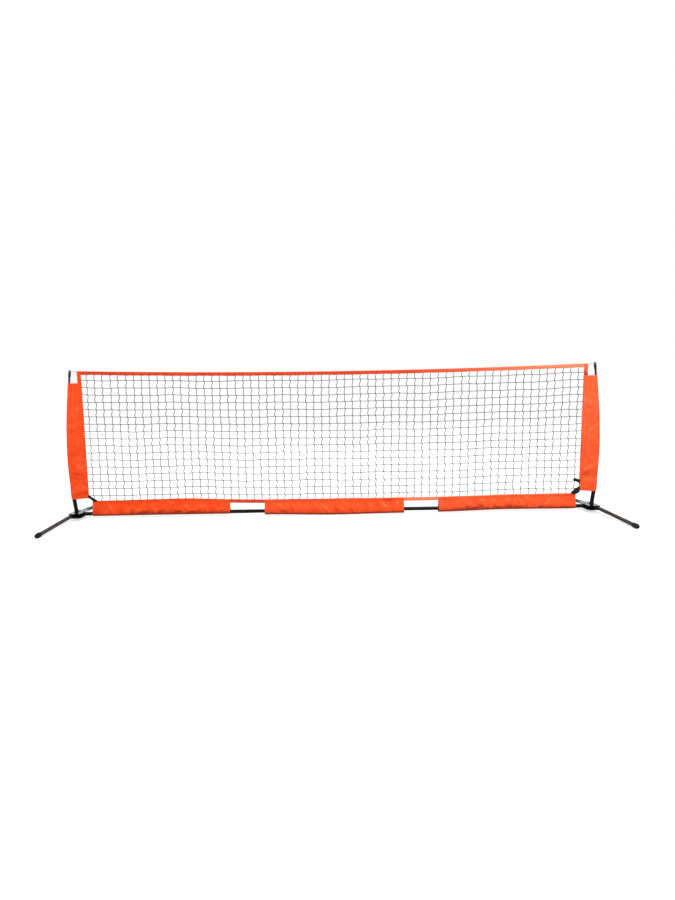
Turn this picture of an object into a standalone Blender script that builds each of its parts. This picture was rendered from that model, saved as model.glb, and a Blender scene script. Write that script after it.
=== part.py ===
"""Low portable net on bowed poles, 3 m between its feet and 0.85 m high.

Frame: metres, +Z up. X runs along the net, the net hangs in the plane Y = 0 and the front is -Y.
The origin lies on the floor under the middle of the base tube. `side` is +1 at the +X end and -1 at
the -X end, `face` is -1 for a front leg and +1 for a rear leg.
"""

import math

import bmesh
import bpy
from mathutils import Matrix, Vector

# ---------------------------------------------------------------- fits
FIT_GAP = 0.0003          # left between two pieces that touch
RUN_GAP = 0.0003          # radial play of a rivet in the hole of a leg
CUT_MARGIN = 0.01         # how far a cutter reaches past what it cuts

# ---------------------------------------------------------------- frame tubes
SPAN = 3.0                # from the leg line of one foot to the other's
TUBE_OD = 0.021
TUBE_WALL = 0.0012
TUBE_AXIS_Z = 0.030       # height of the base tube's axis
TUBE_SEGMENTS = 20
JOINT_X = 0.500           # joint of the middle tube with an outer one, from the middle
SPIGOT_LENGTH = 0.140
SPIGOT_WALL = 0.0012
SPIGOT_RIVET_X = 0.040    # rivet's distance from the joint, on the middle tube's side
BUTTON_X = 0.040          # snap button's distance from the joint, on the outer tube's side

# ---------------------------------------------------------------- snap button
BUTTON_RADIUS = 0.0030
BUTTON_FLANGE_RADIUS = 0.0045
BUTTON_FLANGE = 0.0008    # thickness
BUTTON_PROUD = 0.0025     # stands out of the tube
BUTTON_CROWN = 0.0003     # rise of its slightly domed top
BUTTON_ROUNDING = 0.0012
SPRING_WIDTH = 0.006
SPRING_THICKNESS = 0.0006
SPRING_REACH = 0.040      # from the button to the bend

# ---------------------------------------------------------------- foot bracket
PLATE = 0.002
BRACKET_DEPTH = 0.122     # front to rear
BRACKET_SHOULDER = 0.046  # straight front edge reaches this far in from the leg line
BRACKET_NOSE = 0.054      # inner end reaches this far in from the leg line
NOSE_WIDTH = 0.088
BRACKET_CORNER = 0.006
WEB_CORNER = 0.014        # rounding of the two outer corners
TUBE_END_IN = 0.010       # base tube ends this far in from the leg line
TUBE_RIVET_IN = 0.025     # first rivet, in from the leg line
TUBE_RIVET_PITCH = 0.020
RIVET_RADIUS = 0.0025
RIVET_HEAD_RADIUS = 0.0045
RIVET_HEAD = 0.0016

# ---------------------------------------------------------------- legs
LEG_SLACK = 0.0003        # a leg's radius is this much less than the base tube's
PIVOT_EDGE = 0.016        # pivot's distance from the bracket's front or rear edge
PIVOT_RADIUS = 0.003
PIVOT_HEAD_RADIUS = 0.0060
PIVOT_HEAD = 0.0022
LEG_STUB = 0.0075         # tube past its pivot, towards the net
WEB_CLEARANCE = 0.0008    # between the turning stub and the bracket's web
LEG_REACH = 0.390         # from the net plane to the middle of the cap's round end
LEG_END_GAP = 0.004       # tube stops this far short of that point
CAP_RADIUS = 0.0130
CAP_FLAT = 0.0006         # depth of the flat that stands on the floor
CAP_SKIRT = 0.018
CAP_LIP = 0.0008          # chamfer round the mouth
CAP_ROUND_STEPS = 6

# ---------------------------------------------------------------- poles
POLE_RADIUS = 0.0055
POLE_SET_IN = 0.005       # socket's foot stands this far inside the leg line
POLE_LEAN = 0.120         # outward slope of the socket
POLE_TIP_IN = 0.111       # the cord pulls the tip this far in from the socket's own line
POLE_TOP_Z = 0.8412
POLE_POINTS = 12
POLE_TIP_STRAIGHT = 0.030
SOCKET_LENGTH = 0.098
WELD = 0.003
FERRULE_COLLAR = 0.003
FERRULE_COLLAR_RIM = 0.001  # collar is this much smaller than the socket
FERRULE_LIFT = 0.004      # ferrule starts this far above the bracket
TIP_RADIUS = 0.0069
TIP_SKIRT = 0.025
TIP_NECK_RADIUS = 0.0050
TIP_NECK = 0.0055         # height of the groove
TIP_DISC_RADIUS = 0.0076
TIP_DISC = 0.0050
TIP_FLOOR = 0.0014        # solid between the pole's end and the groove

# ---------------------------------------------------------------- cloth and net
CLOTH = 0.0012            # stands for the thickness of a sleeve's cloth
SEAM_HALF = 0.0015        # half the thickness of a sleeve at its seam
SLEEVE_INSET = 0.082      # side sleeve's inner edge, in from the leg line
SLEEVE_DROP = 0.0352      # its top edge, below the pole tip's skirt
SLEEVE_BOTTOM_Z = 0.117   # at the pole
SLEEVE_BOTTOM_RISE = 0.005  # inner corner is this much higher
SLEEVE_NECK = 0.060       # height over which it narrows from the socket to the thin pole
SLEEVE_SECTIONS = 10
SLEEVE_ARC_POINTS = 8
SIDE_FOLD = 0.0030        # sideways swing of a side sleeve's long soft folds
SIDE_FOLD_PITCH = 0.290
SIDE_FLAT = 0.2           # share of its width that stays flat beside the seam
EAR_WIDTH = 0.022         # strip of the side sleeve that climbs to the top band
EAR_HALF = 0.001
BAND_LAP = 0.019          # top band's end, out from the side sleeve's inner edge
BAND_RISE = 0.0068        # its top edge at the ends, above the pole's end
BAND_SAG = 0.022
BAND_HEIGHT = 0.020
BAND_LAYER = 0.0008
BAND_MOUTH_HALF = 0.0013  # half the slot between the two layers
BAND_SECTIONS = 16
FOLD_POINTS = 5
CORD_RADIUS = 0.0015
CORD_POINTS = 24
TAPE_END_GAP = 0.048      # bottom tape and sleeves end this far from the bracket
TAPE_TOP_Z = 0.106        # at its ends
TAPE_SAG = 0.013
TAPE_HEIGHT = 0.020
WINDOW_X = 0.504          # middle of the gap between two bottom sleeves
WINDOW_WIDTH = 0.200
SLACK_END = 0.002         # bottom sleeve hangs this much below the tube's own shape, at the ends
SLACK_MIDDLE = 0.012
BOTTOM_SECTIONS = 20
BOTTOM_FOLD = 0.0040      # how far a fold of a bottom sleeve stands out
BOTTOM_FOLD_PITCH = 0.155
BOTTOM_FOLD_SLANT = 1.2   # run of a fold along the net for each metre of height
NET_COLUMNS = 28
NET_ROWS = 8
STRING_WIDTH = 0.003
STRING_THICKNESS = 0.002
NET_TUCK = 0.008          # net's edge inside the top band and the bottom tape
STRAP_WIDTH = 0.014
STRAP_THICKNESS = 0.0015
STRAP_LAP = 0.006         # strap's end on the side sleeve
STRAP_TOP_Z = 0.132
STRAP_FOOT_IN = 0.042     # strap's foot, in from the side sleeve's edge
STRAP_FOOT_Z = 0.100
STRAP_END_WIDTH = 0.013
STRAP_END_Z = 0.176
STRAP_END_RUN = 0.036     # how far the loose end reaches in
STRAP_END_RISE = 0.014

# ---------------------------------------------------------------- worked out
TUBE_RADIUS = TUBE_OD / 2
TUBE_BORE = TUBE_RADIUS - TUBE_WALL
SPIGOT_RADIUS = TUBE_BORE - FIT_GAP
SPIGOT_BORE = SPIGOT_RADIUS - SPIGOT_WALL
LEG_LINE = SPAN / 2
LEG_RADIUS = TUBE_RADIUS - LEG_SLACK
PIVOT_Y = BRACKET_DEPTH / 2 - PIVOT_EDGE
SLEEVE_INNER_X = LEG_LINE - SLEEVE_INSET
SLEEVE_TOP_Z = POLE_TOP_Z - TIP_SKIRT - SLEEVE_DROP
BAND_HALF_LENGTH = SLEEVE_INNER_X + BAND_LAP
BAND_TOP_Z = POLE_TOP_Z + BAND_RISE
TAPE_HALF_LENGTH = LEG_LINE - BRACKET_NOSE - TAPE_END_GAP
WEB_OUT = math.hypot(LEG_STUB, LEG_RADIUS) + WEB_CLEARANCE   # web's inner face, out from the leg line
CAP_CENTRE_Z = CAP_RADIUS - CAP_FLAT
LEG_SLOPE = math.atan2(TUBE_AXIS_Z - CAP_CENTRE_Z, LEG_REACH - PIVOT_Y)
LEG_LENGTH = math.hypot(TUBE_AXIS_Z - CAP_CENTRE_Z, LEG_REACH - PIVOT_Y)
LEG_ROOM = LEG_RADIUS / math.cos(LEG_SLOPE) + PIVOT_EDGE * math.tan(LEG_SLOPE)   # half a leg's height
PLATE_GAP = 2 * (LEG_ROOM + RUN_GAP)
BRACKET_HEIGHT = PLATE_GAP + 2 * PLATE
PLATE_TOP_Z = TUBE_AXIS_Z + BRACKET_HEIGHT / 2
PIVOT_HEAD_PLAY = FIT_GAP + PIVOT_HEAD_RADIUS * math.tan(LEG_SLOPE)   # a head stands this far off its plate
POLE_STRAIGHT = SOCKET_LENGTH + FIT_GAP + FERRULE_COLLAR
BAND_CORD_DROP = CORD_RADIUS + FIT_GAP + BAND_LAYER    # cord's axis below the band's top edge
LOOP_RADIUS = TIP_NECK_RADIUS + FIT_GAP + CORD_RADIUS   # of the cord's middle line round the tip
BUTTON_SEAT = math.sqrt(SPIGOT_BORE ** 2 - BUTTON_FLANGE_RADIUS ** 2) - FIT_GAP
TAPE_HALF = BAND_MOUTH_HALF + BAND_LAYER
SLEEVE_RADIUS = POLE_RADIUS + FIT_GAP + CLOTH
SLEEVE_FOOT_RADIUS = TUBE_RADIUS + FIT_GAP + CLOTH

BLACK = (0.016, 0.016, 0.015)
LEG_BLACK = (0.060, 0.055, 0.048)
RUBBER = (0.012, 0.012, 0.012)
STEEL = (0.55, 0.55, 0.54)
ORANGE = (0.90, 0.085, 0.018)
BAND_ORANGE = (0.68, 0.065, 0.014)
CORD_GREY = (0.45, 0.45, 0.44)


# ================================================================ scene helpers
def clear_scene():
    """Remove the objects that the scene opens with."""
    for obj in list(bpy.data.objects):
        bpy.data.objects.remove(obj, do_unlink=True)


def make_collection(name, hidden=False):
    """Add a collection to the scene."""
    coll = bpy.data.collections.new(name)
    coll.hide_render = hidden
    bpy.context.scene.collection.children.link(coll)
    return coll


clear_scene()
PARTS = make_collection("portable_net")
CUTTERS = make_collection("cutters", hidden=True)


def make_material(name, colour, roughness, metallic):
    """A Principled material of one colour."""
    mat = bpy.data.materials.new(name)
    mat.use_nodes = True
    shader = mat.node_tree.nodes["Principled BSDF"]
    shader.inputs["Base Color"].default_value = (*colour, 1.0)
    shader.inputs["Roughness"].default_value = roughness
    shader.inputs["Metallic"].default_value = metallic
    return mat


def finish(obj, colour, roughness=0.5, metallic=0.0):
    """Give a part its own material."""
    obj.data.materials.clear()
    obj.data.materials.append(make_material(obj.name + "_finish", colour, roughness, metallic))
    return obj


def mesh_object(name, mesh, coll=None):
    """Put a mesh into the parts, or into another collection."""
    obj = bpy.data.objects.new(name, mesh)
    (coll or PARTS).objects.link(obj)
    return obj


def as_cutter(obj):
    """Mark an object as a cutter, which is no part."""
    obj.hide_render = True
    obj.display_type = "WIRE"
    return obj


def boolean(obj, cutter, operation="DIFFERENCE"):
    """Cut or join a part with a closed mesh."""
    mod = obj.modifiers.new(cutter.name, "BOOLEAN")
    mod.operation = operation
    mod.solver = "EXACT"
    mod.object = cutter
    return obj


def turned(name, profile, steps, ring=False, coll=None):
    """Turn a profile of (radius, height) points round the object's Z axis.

    The points run down the outer side. A ring's profile closes on itself.
    """
    mesh = bpy.data.meshes.new(name)
    edges = [(i, i + 1) for i in range(len(profile) - 1)]
    if ring:
        edges.append((len(profile) - 1, 0))
    mesh.from_pydata([(r, 0.0, z) for r, z in profile], edges, [])
    obj = mesh_object(name, mesh, coll)
    mod = obj.modifiers.new("turn", "SCREW")
    mod.axis = "Z"
    mod.angle = math.tau
    mod.steps = steps
    mod.render_steps = steps
    mod.use_merge_vertices = True
    mod.merge_threshold = 0.00001
    mod.use_smooth_shade = True
    return obj


def box_cutter(name, low, high):
    """A box between two corners, used to cut."""
    mesh = bpy.data.meshes.new(name)
    bm = bmesh.new()
    centre = (Vector(low) + Vector(high)) / 2
    size = Vector(high) - Vector(low)
    bmesh.ops.create_cube(bm, size=1.0, matrix=Matrix.Translation(centre) @ Matrix.Diagonal((*size, 1.0)))
    bm.to_mesh(mesh)
    bm.free()
    return as_cutter(mesh_object(name, mesh, CUTTERS))


def drill(name, radius, start, end, steps=12):
    """A round cutter between two points."""
    start, end = Vector(start), Vector(end)
    mesh = bpy.data.meshes.new(name)
    bm = bmesh.new()
    turn = (end - start).to_track_quat("Z", "Y").to_matrix().to_4x4()
    bmesh.ops.create_cone(bm, cap_ends=True, segments=steps, radius1=radius, radius2=radius,
                          depth=(end - start).length, matrix=Matrix.Translation((start + end) / 2) @ turn)
    bm.to_mesh(mesh)
    bm.free()
    return as_cutter(mesh_object(name, mesh, CUTTERS))


def wire(name, points, radius, resolution=2, coll=None):
    """A round bar along a list of points, as a curve with filled caps."""
    data = bpy.data.curves.new(name, "CURVE")
    data.dimensions = "3D"
    data.bevel_depth = radius
    data.bevel_resolution = resolution
    data.use_fill_caps = True
    spline = data.splines.new("POLY")
    spline.points.add(len(points) - 1)
    for knot, point in zip(spline.points, points):
        knot.co = (*point, 1.0)
    return mesh_object(name, data, coll)


def curve_to_mesh(obj):
    """Turn a curve object into a mesh object of the same name, with its caps welded."""
    coll = obj.users_collection[0]
    name = obj.name
    bpy.context.view_layer.update()
    evaluated = obj.evaluated_get(bpy.context.evaluated_depsgraph_get())
    mesh = bpy.data.meshes.new_from_object(evaluated)
    place = obj.matrix_world.copy()
    bpy.data.objects.remove(obj, do_unlink=True)
    bm = bmesh.new()
    bm.from_mesh(mesh)
    bmesh.ops.remove_doubles(bm, verts=bm.verts, dist=0.00001)
    bm.to_mesh(mesh)
    bm.free()
    solid = mesh_object(name, mesh, coll)
    solid.matrix_world = place
    return solid


def flat_plate(name, outlines, thickness, coll=None):
    """A plate from closed outlines in its own XY plane: the first is the rim, the others are holes."""
    data = bpy.data.curves.new(name, "CURVE")
    data.dimensions = "2D"
    data.fill_mode = "BOTH"
    data.extrude = thickness / 2
    for outline in outlines:
        spline = data.splines.new("POLY")
        spline.points.add(len(outline) - 1)
        for knot, (x, y) in zip(spline.points, outline):
            knot.co = (x, y, 0.0, 1.0)
        spline.use_cyclic_u = True
    return mesh_object(name, data, coll)


def loft(name, rings):
    """A closed solid through rings of equally many points, capped at both ends."""
    bm = bmesh.new()
    rows = [[bm.verts.new(point) for point in ring] for ring in rings]
    count = len(rows[0])
    for low, high in zip(rows, rows[1:]):
        for i in range(count):
            j = (i + 1) % count
            bm.faces.new((low[i], low[j], high[j], high[i]))
    bm.faces.new(rows[0])
    bm.faces.new(rows[-1])
    bmesh.ops.recalc_face_normals(bm, faces=bm.faces)
    mesh = bpy.data.meshes.new(name)
    bm.to_mesh(mesh)
    bm.free()
    return mesh_object(name, mesh)


def arc(centre, radius, start, end, count):
    """Points on an arc in a plane, both ends included. Angles are in radians."""
    step = (end - start) / (count - 1)
    angles = [start + step * i for i in range(count)]
    return [(centre[0] + radius * math.cos(a), centre[1] + radius * math.sin(a)) for a in angles]


def spread(low, high, count):
    """Evenly spaced values, both ends included."""
    return [low + (high - low) * i / (count - 1) for i in range(count)]


def side_name(side):
    """Name of an end of the net, as seen from the front."""
    return "right" if side > 0 else "left"


def face_name(face):
    """Name of a leg's direction."""
    return "rear" if face > 0 else "front"


def rivet(name, shank, grip, head_radius, head):
    """A rivet along Z with a low dome at both ends of its grip."""
    half = grip / 2
    dome = [(0.0, head), (head_radius * 0.6, head * 0.8), (head_radius, 0.0)]
    top = [(r, half + z) for r, z in dome]
    foot = [(r, -half - z) for r, z in reversed(dome)]
    profile = top + [(shank, half), (shank, -half)] + foot
    return finish(turned(name, profile, 12), STEEL, 0.3, 1.0)


# ================================================================ curves of the cloth and the poles
def sagging(x, end_z, sag, half_length):
    """Height of an edge that hangs as a parabola between its two ends."""
    return end_z - sag * (1 - (x / half_length) ** 2)


def band_top(x):
    """Top edge of the top band."""
    return sagging(x, BAND_TOP_Z, BAND_SAG, BAND_HALF_LENGTH)


def tape_top(x):
    """Top edge of the bottom tape."""
    return sagging(x, TAPE_TOP_Z, TAPE_SAG, TAPE_HALF_LENGTH)


def pole_x(z):
    """Distance of the pole's axis from the middle of the net, at a height.

    It is straight in the socket, and above it it bends as a rod does that is held at its foot and
    pulled in at its tip.
    """
    rise = z - PLATE_TOP_Z
    free = POLE_TOP_Z - PLATE_TOP_Z - POLE_STRAIGHT
    share = max(0.0, rise - POLE_STRAIGHT) / free
    pulled = POLE_TIP_IN * share ** 2 * (3 - share) / 2
    return LEG_LINE - POLE_SET_IN + POLE_LEAN * rise - pulled


def pole_path(side, low, high):
    """Points of the pole's axis from one height to another, with a straight tip."""
    start = PLATE_TOP_Z + POLE_STRAIGHT
    heights = [low] + spread(start, POLE_TOP_Z - POLE_TIP_STRAIGHT, POLE_POINTS) + [POLE_TOP_Z]
    heights = [z for z in heights if z < high] + [high]
    return [Vector((side * pole_x(z), 0.0, z)) for z in heights]


def socket_turn(side):
    """Rotation of whatever stands along the socket."""
    return (0.0, side * math.atan(POLE_LEAN), 0.0)


def pole_tip_place(side):
    """End of the pole and the rotation of whatever sits on it."""
    low, high = pole_path(side, PLATE_TOP_Z, POLE_TOP_Z)[-2:]
    lean = (high - low).normalized()
    return high, (0.0, math.atan2(lean.x, lean.z), 0.0)


# ================================================================ base tubes and their joints
def along_x(obj, x):
    """Lay a turned shape along X on the base tube's axis."""
    obj.rotation_euler = (0.0, math.pi / 2, 0.0)
    obj.location = (x, 0.0, TUBE_AXIS_Z)
    return obj


def tube_ring(outer, inner, low, high):
    """Profile of a tube between two heights."""
    return [(outer, high), (outer, low), (inner, low), (inner, high)]


def rear_hole(name, x, radius):
    """Cutter for a hole in the rear wall only."""
    return drill(name, radius, (x, TUBE_BORE / 2, TUBE_AXIS_Z), (x, TUBE_RADIUS + CUT_MARGIN, TUBE_AXIS_Z))


def through_hole(name, x, radius):
    """Cutter for a hole through both walls, front to rear."""
    reach = TUBE_RADIUS + CUT_MARGIN
    return drill(name, radius, (x, -reach, TUBE_AXIS_Z), (x, reach, TUBE_AXIS_Z))


def tube_rivet_holes(side):
    """Cutters for the two upright rivets that hold the base tube in its bracket."""
    cutters = []
    for number in range(2):
        name = f"tube_rivet_hole_{side_name(side)}_{number}"
        x = side * (LEG_LINE - TUBE_RIVET_IN - number * TUBE_RIVET_PITCH)
        low = (x, 0.0, TUBE_AXIS_Z - BRACKET_HEIGHT)
        high = (x, 0.0, TUBE_AXIS_Z + BRACKET_HEIGHT)
        cutters.append(drill(name, RIVET_RADIUS + FIT_GAP, low, high))
    return cutters


def make_outer_tube(side):
    """Base tube from a joint to the bracket, with the snap button's hole."""
    start = JOINT_X + FIT_GAP / 2
    end = LEG_LINE - TUBE_END_IN
    half = (end - start) / 2
    name = f"base_tube_{side_name(side)}"
    tube = turned(name, tube_ring(TUBE_RADIUS, TUBE_BORE, -half, half), TUBE_SEGMENTS, ring=True)
    along_x(tube, side * (start + end) / 2)
    hole_x = side * (JOINT_X + BUTTON_X)
    boolean(tube, rear_hole(f"button_hole_{side_name(side)}", hole_x, BUTTON_RADIUS + FIT_GAP))
    for cutter in tube_rivet_holes(side):
        boolean(tube, cutter)
    return finish(tube, BLACK, 0.35)


def make_middle_tube():
    """Base tube between the two joints."""
    half = JOINT_X - FIT_GAP / 2
    profile = tube_ring(TUBE_RADIUS, TUBE_BORE, -half, half)
    tube = along_x(turned("base_tube_middle", profile, TUBE_SEGMENTS, ring=True), 0.0)
    for side in (-1, 1):
        hole_x = side * (JOINT_X - SPIGOT_RIVET_X)
        boolean(tube, through_hole(f"spigot_rivet_hole_{side_name(side)}", hole_x, RIVET_RADIUS + FIT_GAP))
    return finish(tube, BLACK, 0.35)


def make_spigot(side):
    """Inner tube that joins the middle tube and an outer one."""
    name = f"spigot_{side_name(side)}"
    half = SPIGOT_LENGTH / 2
    spigot = turned(name, tube_ring(SPIGOT_RADIUS, SPIGOT_BORE, -half, half), TUBE_SEGMENTS, ring=True)
    along_x(spigot, side * JOINT_X)
    button_x = side * (JOINT_X + BUTTON_X)
    rivet_x = side * (JOINT_X - SPIGOT_RIVET_X)
    boolean(spigot, rear_hole(f"spigot_button_hole_{side_name(side)}", button_x, BUTTON_RADIUS + FIT_GAP))
    boolean(spigot, through_hole(f"spigot_hole_{side_name(side)}", rivet_x, RIVET_RADIUS + FIT_GAP))
    return finish(spigot, STEEL, 0.35, 1.0)


def make_spigot_rivet(side):
    """Rivet through the middle tube and a spigot, front to rear."""
    grip = TUBE_OD + 2 * FIT_GAP
    pin = rivet(f"spigot_rivet_{side_name(side)}", RIVET_RADIUS, grip, RIVET_HEAD_RADIUS, RIVET_HEAD)
    pin.rotation_euler = (math.pi / 2, 0.0, 0.0)
    pin.location = (side * (JOINT_X - SPIGOT_RIVET_X), 0.0, TUBE_AXIS_Z)
    return pin


def make_snap_button(side):
    """Button that stands out of the rear wall, with a flange inside the spigot."""
    flange = BUTTON_SEAT - BUTTON_FLANGE
    top = TUBE_RADIUS + BUTTON_PROUD
    profile = [(0.0, top), (BUTTON_RADIUS - BUTTON_ROUNDING, top - BUTTON_CROWN),
               (BUTTON_RADIUS, top - BUTTON_ROUNDING),
               (BUTTON_RADIUS, BUTTON_SEAT), (BUTTON_FLANGE_RADIUS, BUTTON_SEAT),
               (BUTTON_FLANGE_RADIUS, flange), (0.0, flange)]
    button = turned(f"snap_button_{side_name(side)}", profile, 12)
    button.rotation_euler = (-math.pi / 2, 0.0, 0.0)
    button.location = (side * (JOINT_X + BUTTON_X), 0.0, TUBE_AXIS_Z)
    return finish(button, STEEL, 0.3, 1.0)


def ribbon_outline(points, thickness):
    """Closed outline of a strip of even thickness along a path in a plane."""
    path = [Vector(point) for point in points]
    left, right = [], []
    for i, point in enumerate(path):
        ahead = path[min(i + 1, len(path) - 1)] - path[max(i - 1, 0)]
        normal = Vector((-ahead.y, ahead.x)).normalized() * (thickness / 2)
        left.append(tuple(point + normal))
        right.append(tuple(point - normal))
    return left + right[::-1]


def make_button_spring(side):
    """Leaf spring bent as a V: one leg presses the button's flange, the other the front wall."""
    rear = BUTTON_SEAT - BUTTON_FLANGE - FIT_GAP - SPRING_THICKNESS / 2
    wall = math.sqrt(SPIGOT_BORE ** 2 - (SPRING_WIDTH / 2) ** 2)
    front = -(wall - FIT_GAP - SPRING_THICKNESS / 2)
    bend = (rear - front) / 3
    tip = BUTTON_RADIUS
    turn_x = -SPRING_REACH + bend / 2
    path = [(tip, rear), (-tip, rear), (turn_x, front + bend)]
    path += arc((turn_x, front + bend / 2), bend / 2, math.pi / 2, 3 * math.pi / 2, 7)[1:]
    path += [(tip, front)]
    outline = ribbon_outline(path, SPRING_THICKNESS)
    spring = flat_plate(f"button_spring_{side_name(side)}", [outline], SPRING_WIDTH)
    spring.location = (side * (JOINT_X + BUTTON_X), 0.0, TUBE_AXIS_Z)
    return finish(spring, STEEL, 0.3, 1.0)


# ================================================================ feet
def rounded_outline(corners, radii, steps=4):
    """Closed outline with each corner replaced by an arc, for corners listed anticlockwise."""
    outline = []
    for i, (corner, radius) in enumerate(zip(corners, radii)):
        here = Vector(corner)
        back = (Vector(corners[i - 1]) - here).normalized()
        ahead = (Vector(corners[(i + 1) % len(corners)]) - here).normalized()
        half_angle = back.angle(ahead) / 2
        centre = here + (back + ahead).normalized() * (radius / math.sin(half_angle))
        start = here + back * (radius / math.tan(half_angle)) - centre
        sweep = math.pi - 2 * half_angle
        for k in range(steps + 1):
            turned_point = Matrix.Rotation(sweep * k / steps, 2) @ start
            outline.append(tuple(centre + turned_point))
    return outline


def make_bracket(side):
    """Sheet-steel bracket: two plates and the web that joins them outside the leg line.

    Its outline is drawn from the leg line inwards, as seen from above, and turned for each side.
    """
    name = f"foot_bracket_{side_name(side)}"
    half = BRACKET_DEPTH / 2
    nose = NOSE_WIDTH / 2
    web = WEB_OUT + PLATE
    corners = [(-web, half), (-web, -half), (BRACKET_SHOULDER, -half),
               (BRACKET_NOSE, -nose), (BRACKET_NOSE, nose), (BRACKET_SHOULDER, half)]
    radii = [WEB_CORNER] * 2 + [BRACKET_CORNER] * 4
    block = flat_plate(name, [rounded_outline(corners, radii)], BRACKET_HEIGHT)
    block.location = (side * LEG_LINE, 0.0, TUBE_AXIS_Z)
    block.rotation_euler = (0.0, 0.0, math.pi if side > 0 else 0.0)
    block = curve_to_mesh(block)
    inside = (side * (LEG_LINE + WEB_OUT), side * (LEG_LINE - BRACKET_NOSE - CUT_MARGIN))
    reach = half + CUT_MARGIN
    low = (min(inside), -reach, TUBE_AXIS_Z - PLATE_GAP / 2)
    high = (max(inside), reach, TUBE_AXIS_Z + PLATE_GAP / 2)
    boolean(block, box_cutter(f"bracket_inside_{side_name(side)}", low, high))
    for cutter in tube_rivet_holes(side):
        boolean(block, cutter)
    for face in (-1, 1):
        boolean(block, pivot_drill(f"bracket_pivot_{side_name(side)}_{face_name(face)}", side, face))
    return finish(block, BLACK, 0.3)


def pivot_axis(face):
    """Direction of a pivot: square to its leg, so that the leg folds level beside the base tube."""
    return Vector((0.0, face * math.sin(LEG_SLOPE), math.cos(LEG_SLOPE)))


def pivot_drill(name, side, face):
    """Cutter along a leg's pivot."""
    centre = Vector((side * LEG_LINE, face * PIVOT_Y, TUBE_AXIS_Z))
    reach = pivot_axis(face) * BRACKET_HEIGHT
    return drill(name, PIVOT_RADIUS + RUN_GAP, centre - reach, centre + reach)


def make_tube_rivet(side, number):
    """Rivet through the bracket and the base tube's end."""
    name = f"tube_rivet_{('outer', 'inner')[number]}_{side_name(side)}"
    pin = rivet(name, RIVET_RADIUS, BRACKET_HEIGHT + 2 * FIT_GAP, RIVET_HEAD_RADIUS, RIVET_HEAD)
    pin.location = (side * (LEG_LINE - TUBE_RIVET_IN - number * TUBE_RIVET_PITCH), 0.0, TUBE_AXIS_Z)
    return pin


def make_pivot_rivet(side, face):
    """A leg's pivot."""
    name = f"pivot_rivet_{face_name(face)}_{side_name(side)}"
    pin = rivet(name, PIVOT_RADIUS, BRACKET_HEIGHT + 2 * PIVOT_HEAD_PLAY, PIVOT_HEAD_RADIUS, PIVOT_HEAD)
    pin.location = (side * LEG_LINE, face * PIVOT_Y, TUBE_AXIS_Z)
    pin.rotation_euler = (-face * LEG_SLOPE, 0.0, 0.0)
    return pin


def make_leg(side, face):
    """A leg, its origin on its pivot and its Z axis along the tube."""
    name = f"leg_{face_name(face)}_{side_name(side)}"
    profile = tube_ring(LEG_RADIUS, LEG_RADIUS - TUBE_WALL, -LEG_STUB, LEG_LENGTH - LEG_END_GAP)
    leg = turned(name, profile, TUBE_SEGMENTS, ring=True)
    place_on_leg(leg, side, face)
    boolean(leg, pivot_drill(name + "_pivot", side, face))
    return finish(leg, LEG_BLACK, 0.35)


def place_on_leg(obj, side, face):
    """Put an object's origin on a pivot, with its Z axis down the slope of the leg."""
    obj.location = (side * LEG_LINE, face * PIVOT_Y, TUBE_AXIS_Z)
    obj.rotation_euler = (-face * (math.pi / 2 + LEG_SLOPE), 0.0, 0.0)
    return obj


def make_leg_cap(side, face):
    """Rubber cap with a round end, cut flat where it stands on the floor."""
    name = f"leg_cap_{face_name(face)}_{side_name(side)}"
    tube_end = LEG_LENGTH - LEG_END_GAP
    skirt = tube_end - CAP_SKIRT
    bore = LEG_RADIUS + FIT_GAP
    dome = arc((0.0, LEG_LENGTH), CAP_RADIUS, math.pi / 2, 0.0, CAP_ROUND_STEPS)
    dome[0] = (0.0, LEG_LENGTH + CAP_RADIUS)
    profile = dome + [(CAP_RADIUS, skirt + CAP_LIP), (CAP_RADIUS - CAP_LIP, skirt), (bore, skirt),
                      (bore, tube_end + FIT_GAP), (0.0, tube_end + FIT_GAP)]
    cap = turned(name, profile, TUBE_SEGMENTS)
    place_on_leg(cap, side, face)
    x, y = side * LEG_LINE, face * LEG_REACH
    reach = CAP_RADIUS + CAP_SKIRT
    low = (x - reach, y - reach, -CAP_RADIUS)
    high = (x + reach, y + reach, 0.0)
    boolean(cap, box_cutter(name + "_floor", low, high))
    return finish(cap, RUBBER, 0.7)


# ================================================================ poles
def make_socket(side):
    """Tube welded to the bracket's top plate, leaning outwards, its foot cut level."""
    name = f"pole_socket_{side_name(side)}"
    profile = [(TUBE_RADIUS, SOCKET_LENGTH), (TUBE_RADIUS, WELD), (TUBE_RADIUS + WELD, 0.0),
               (TUBE_RADIUS + WELD, -WELD), (TUBE_BORE, -WELD), (TUBE_BORE, SOCKET_LENGTH)]
    socket = turned(name, profile, TUBE_SEGMENTS, ring=True)
    socket.location = (side * (LEG_LINE - POLE_SET_IN), 0.0, PLATE_TOP_Z)
    socket.rotation_euler = socket_turn(side)
    x = side * LEG_LINE
    reach = TUBE_OD
    low = (x - reach, -reach, PLATE_TOP_Z - reach)
    high = (x + reach, reach, PLATE_TOP_Z + FIT_GAP)
    boolean(socket, box_cutter(name + "_level", low, high))
    return finish(socket, BLACK, 0.35)


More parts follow.
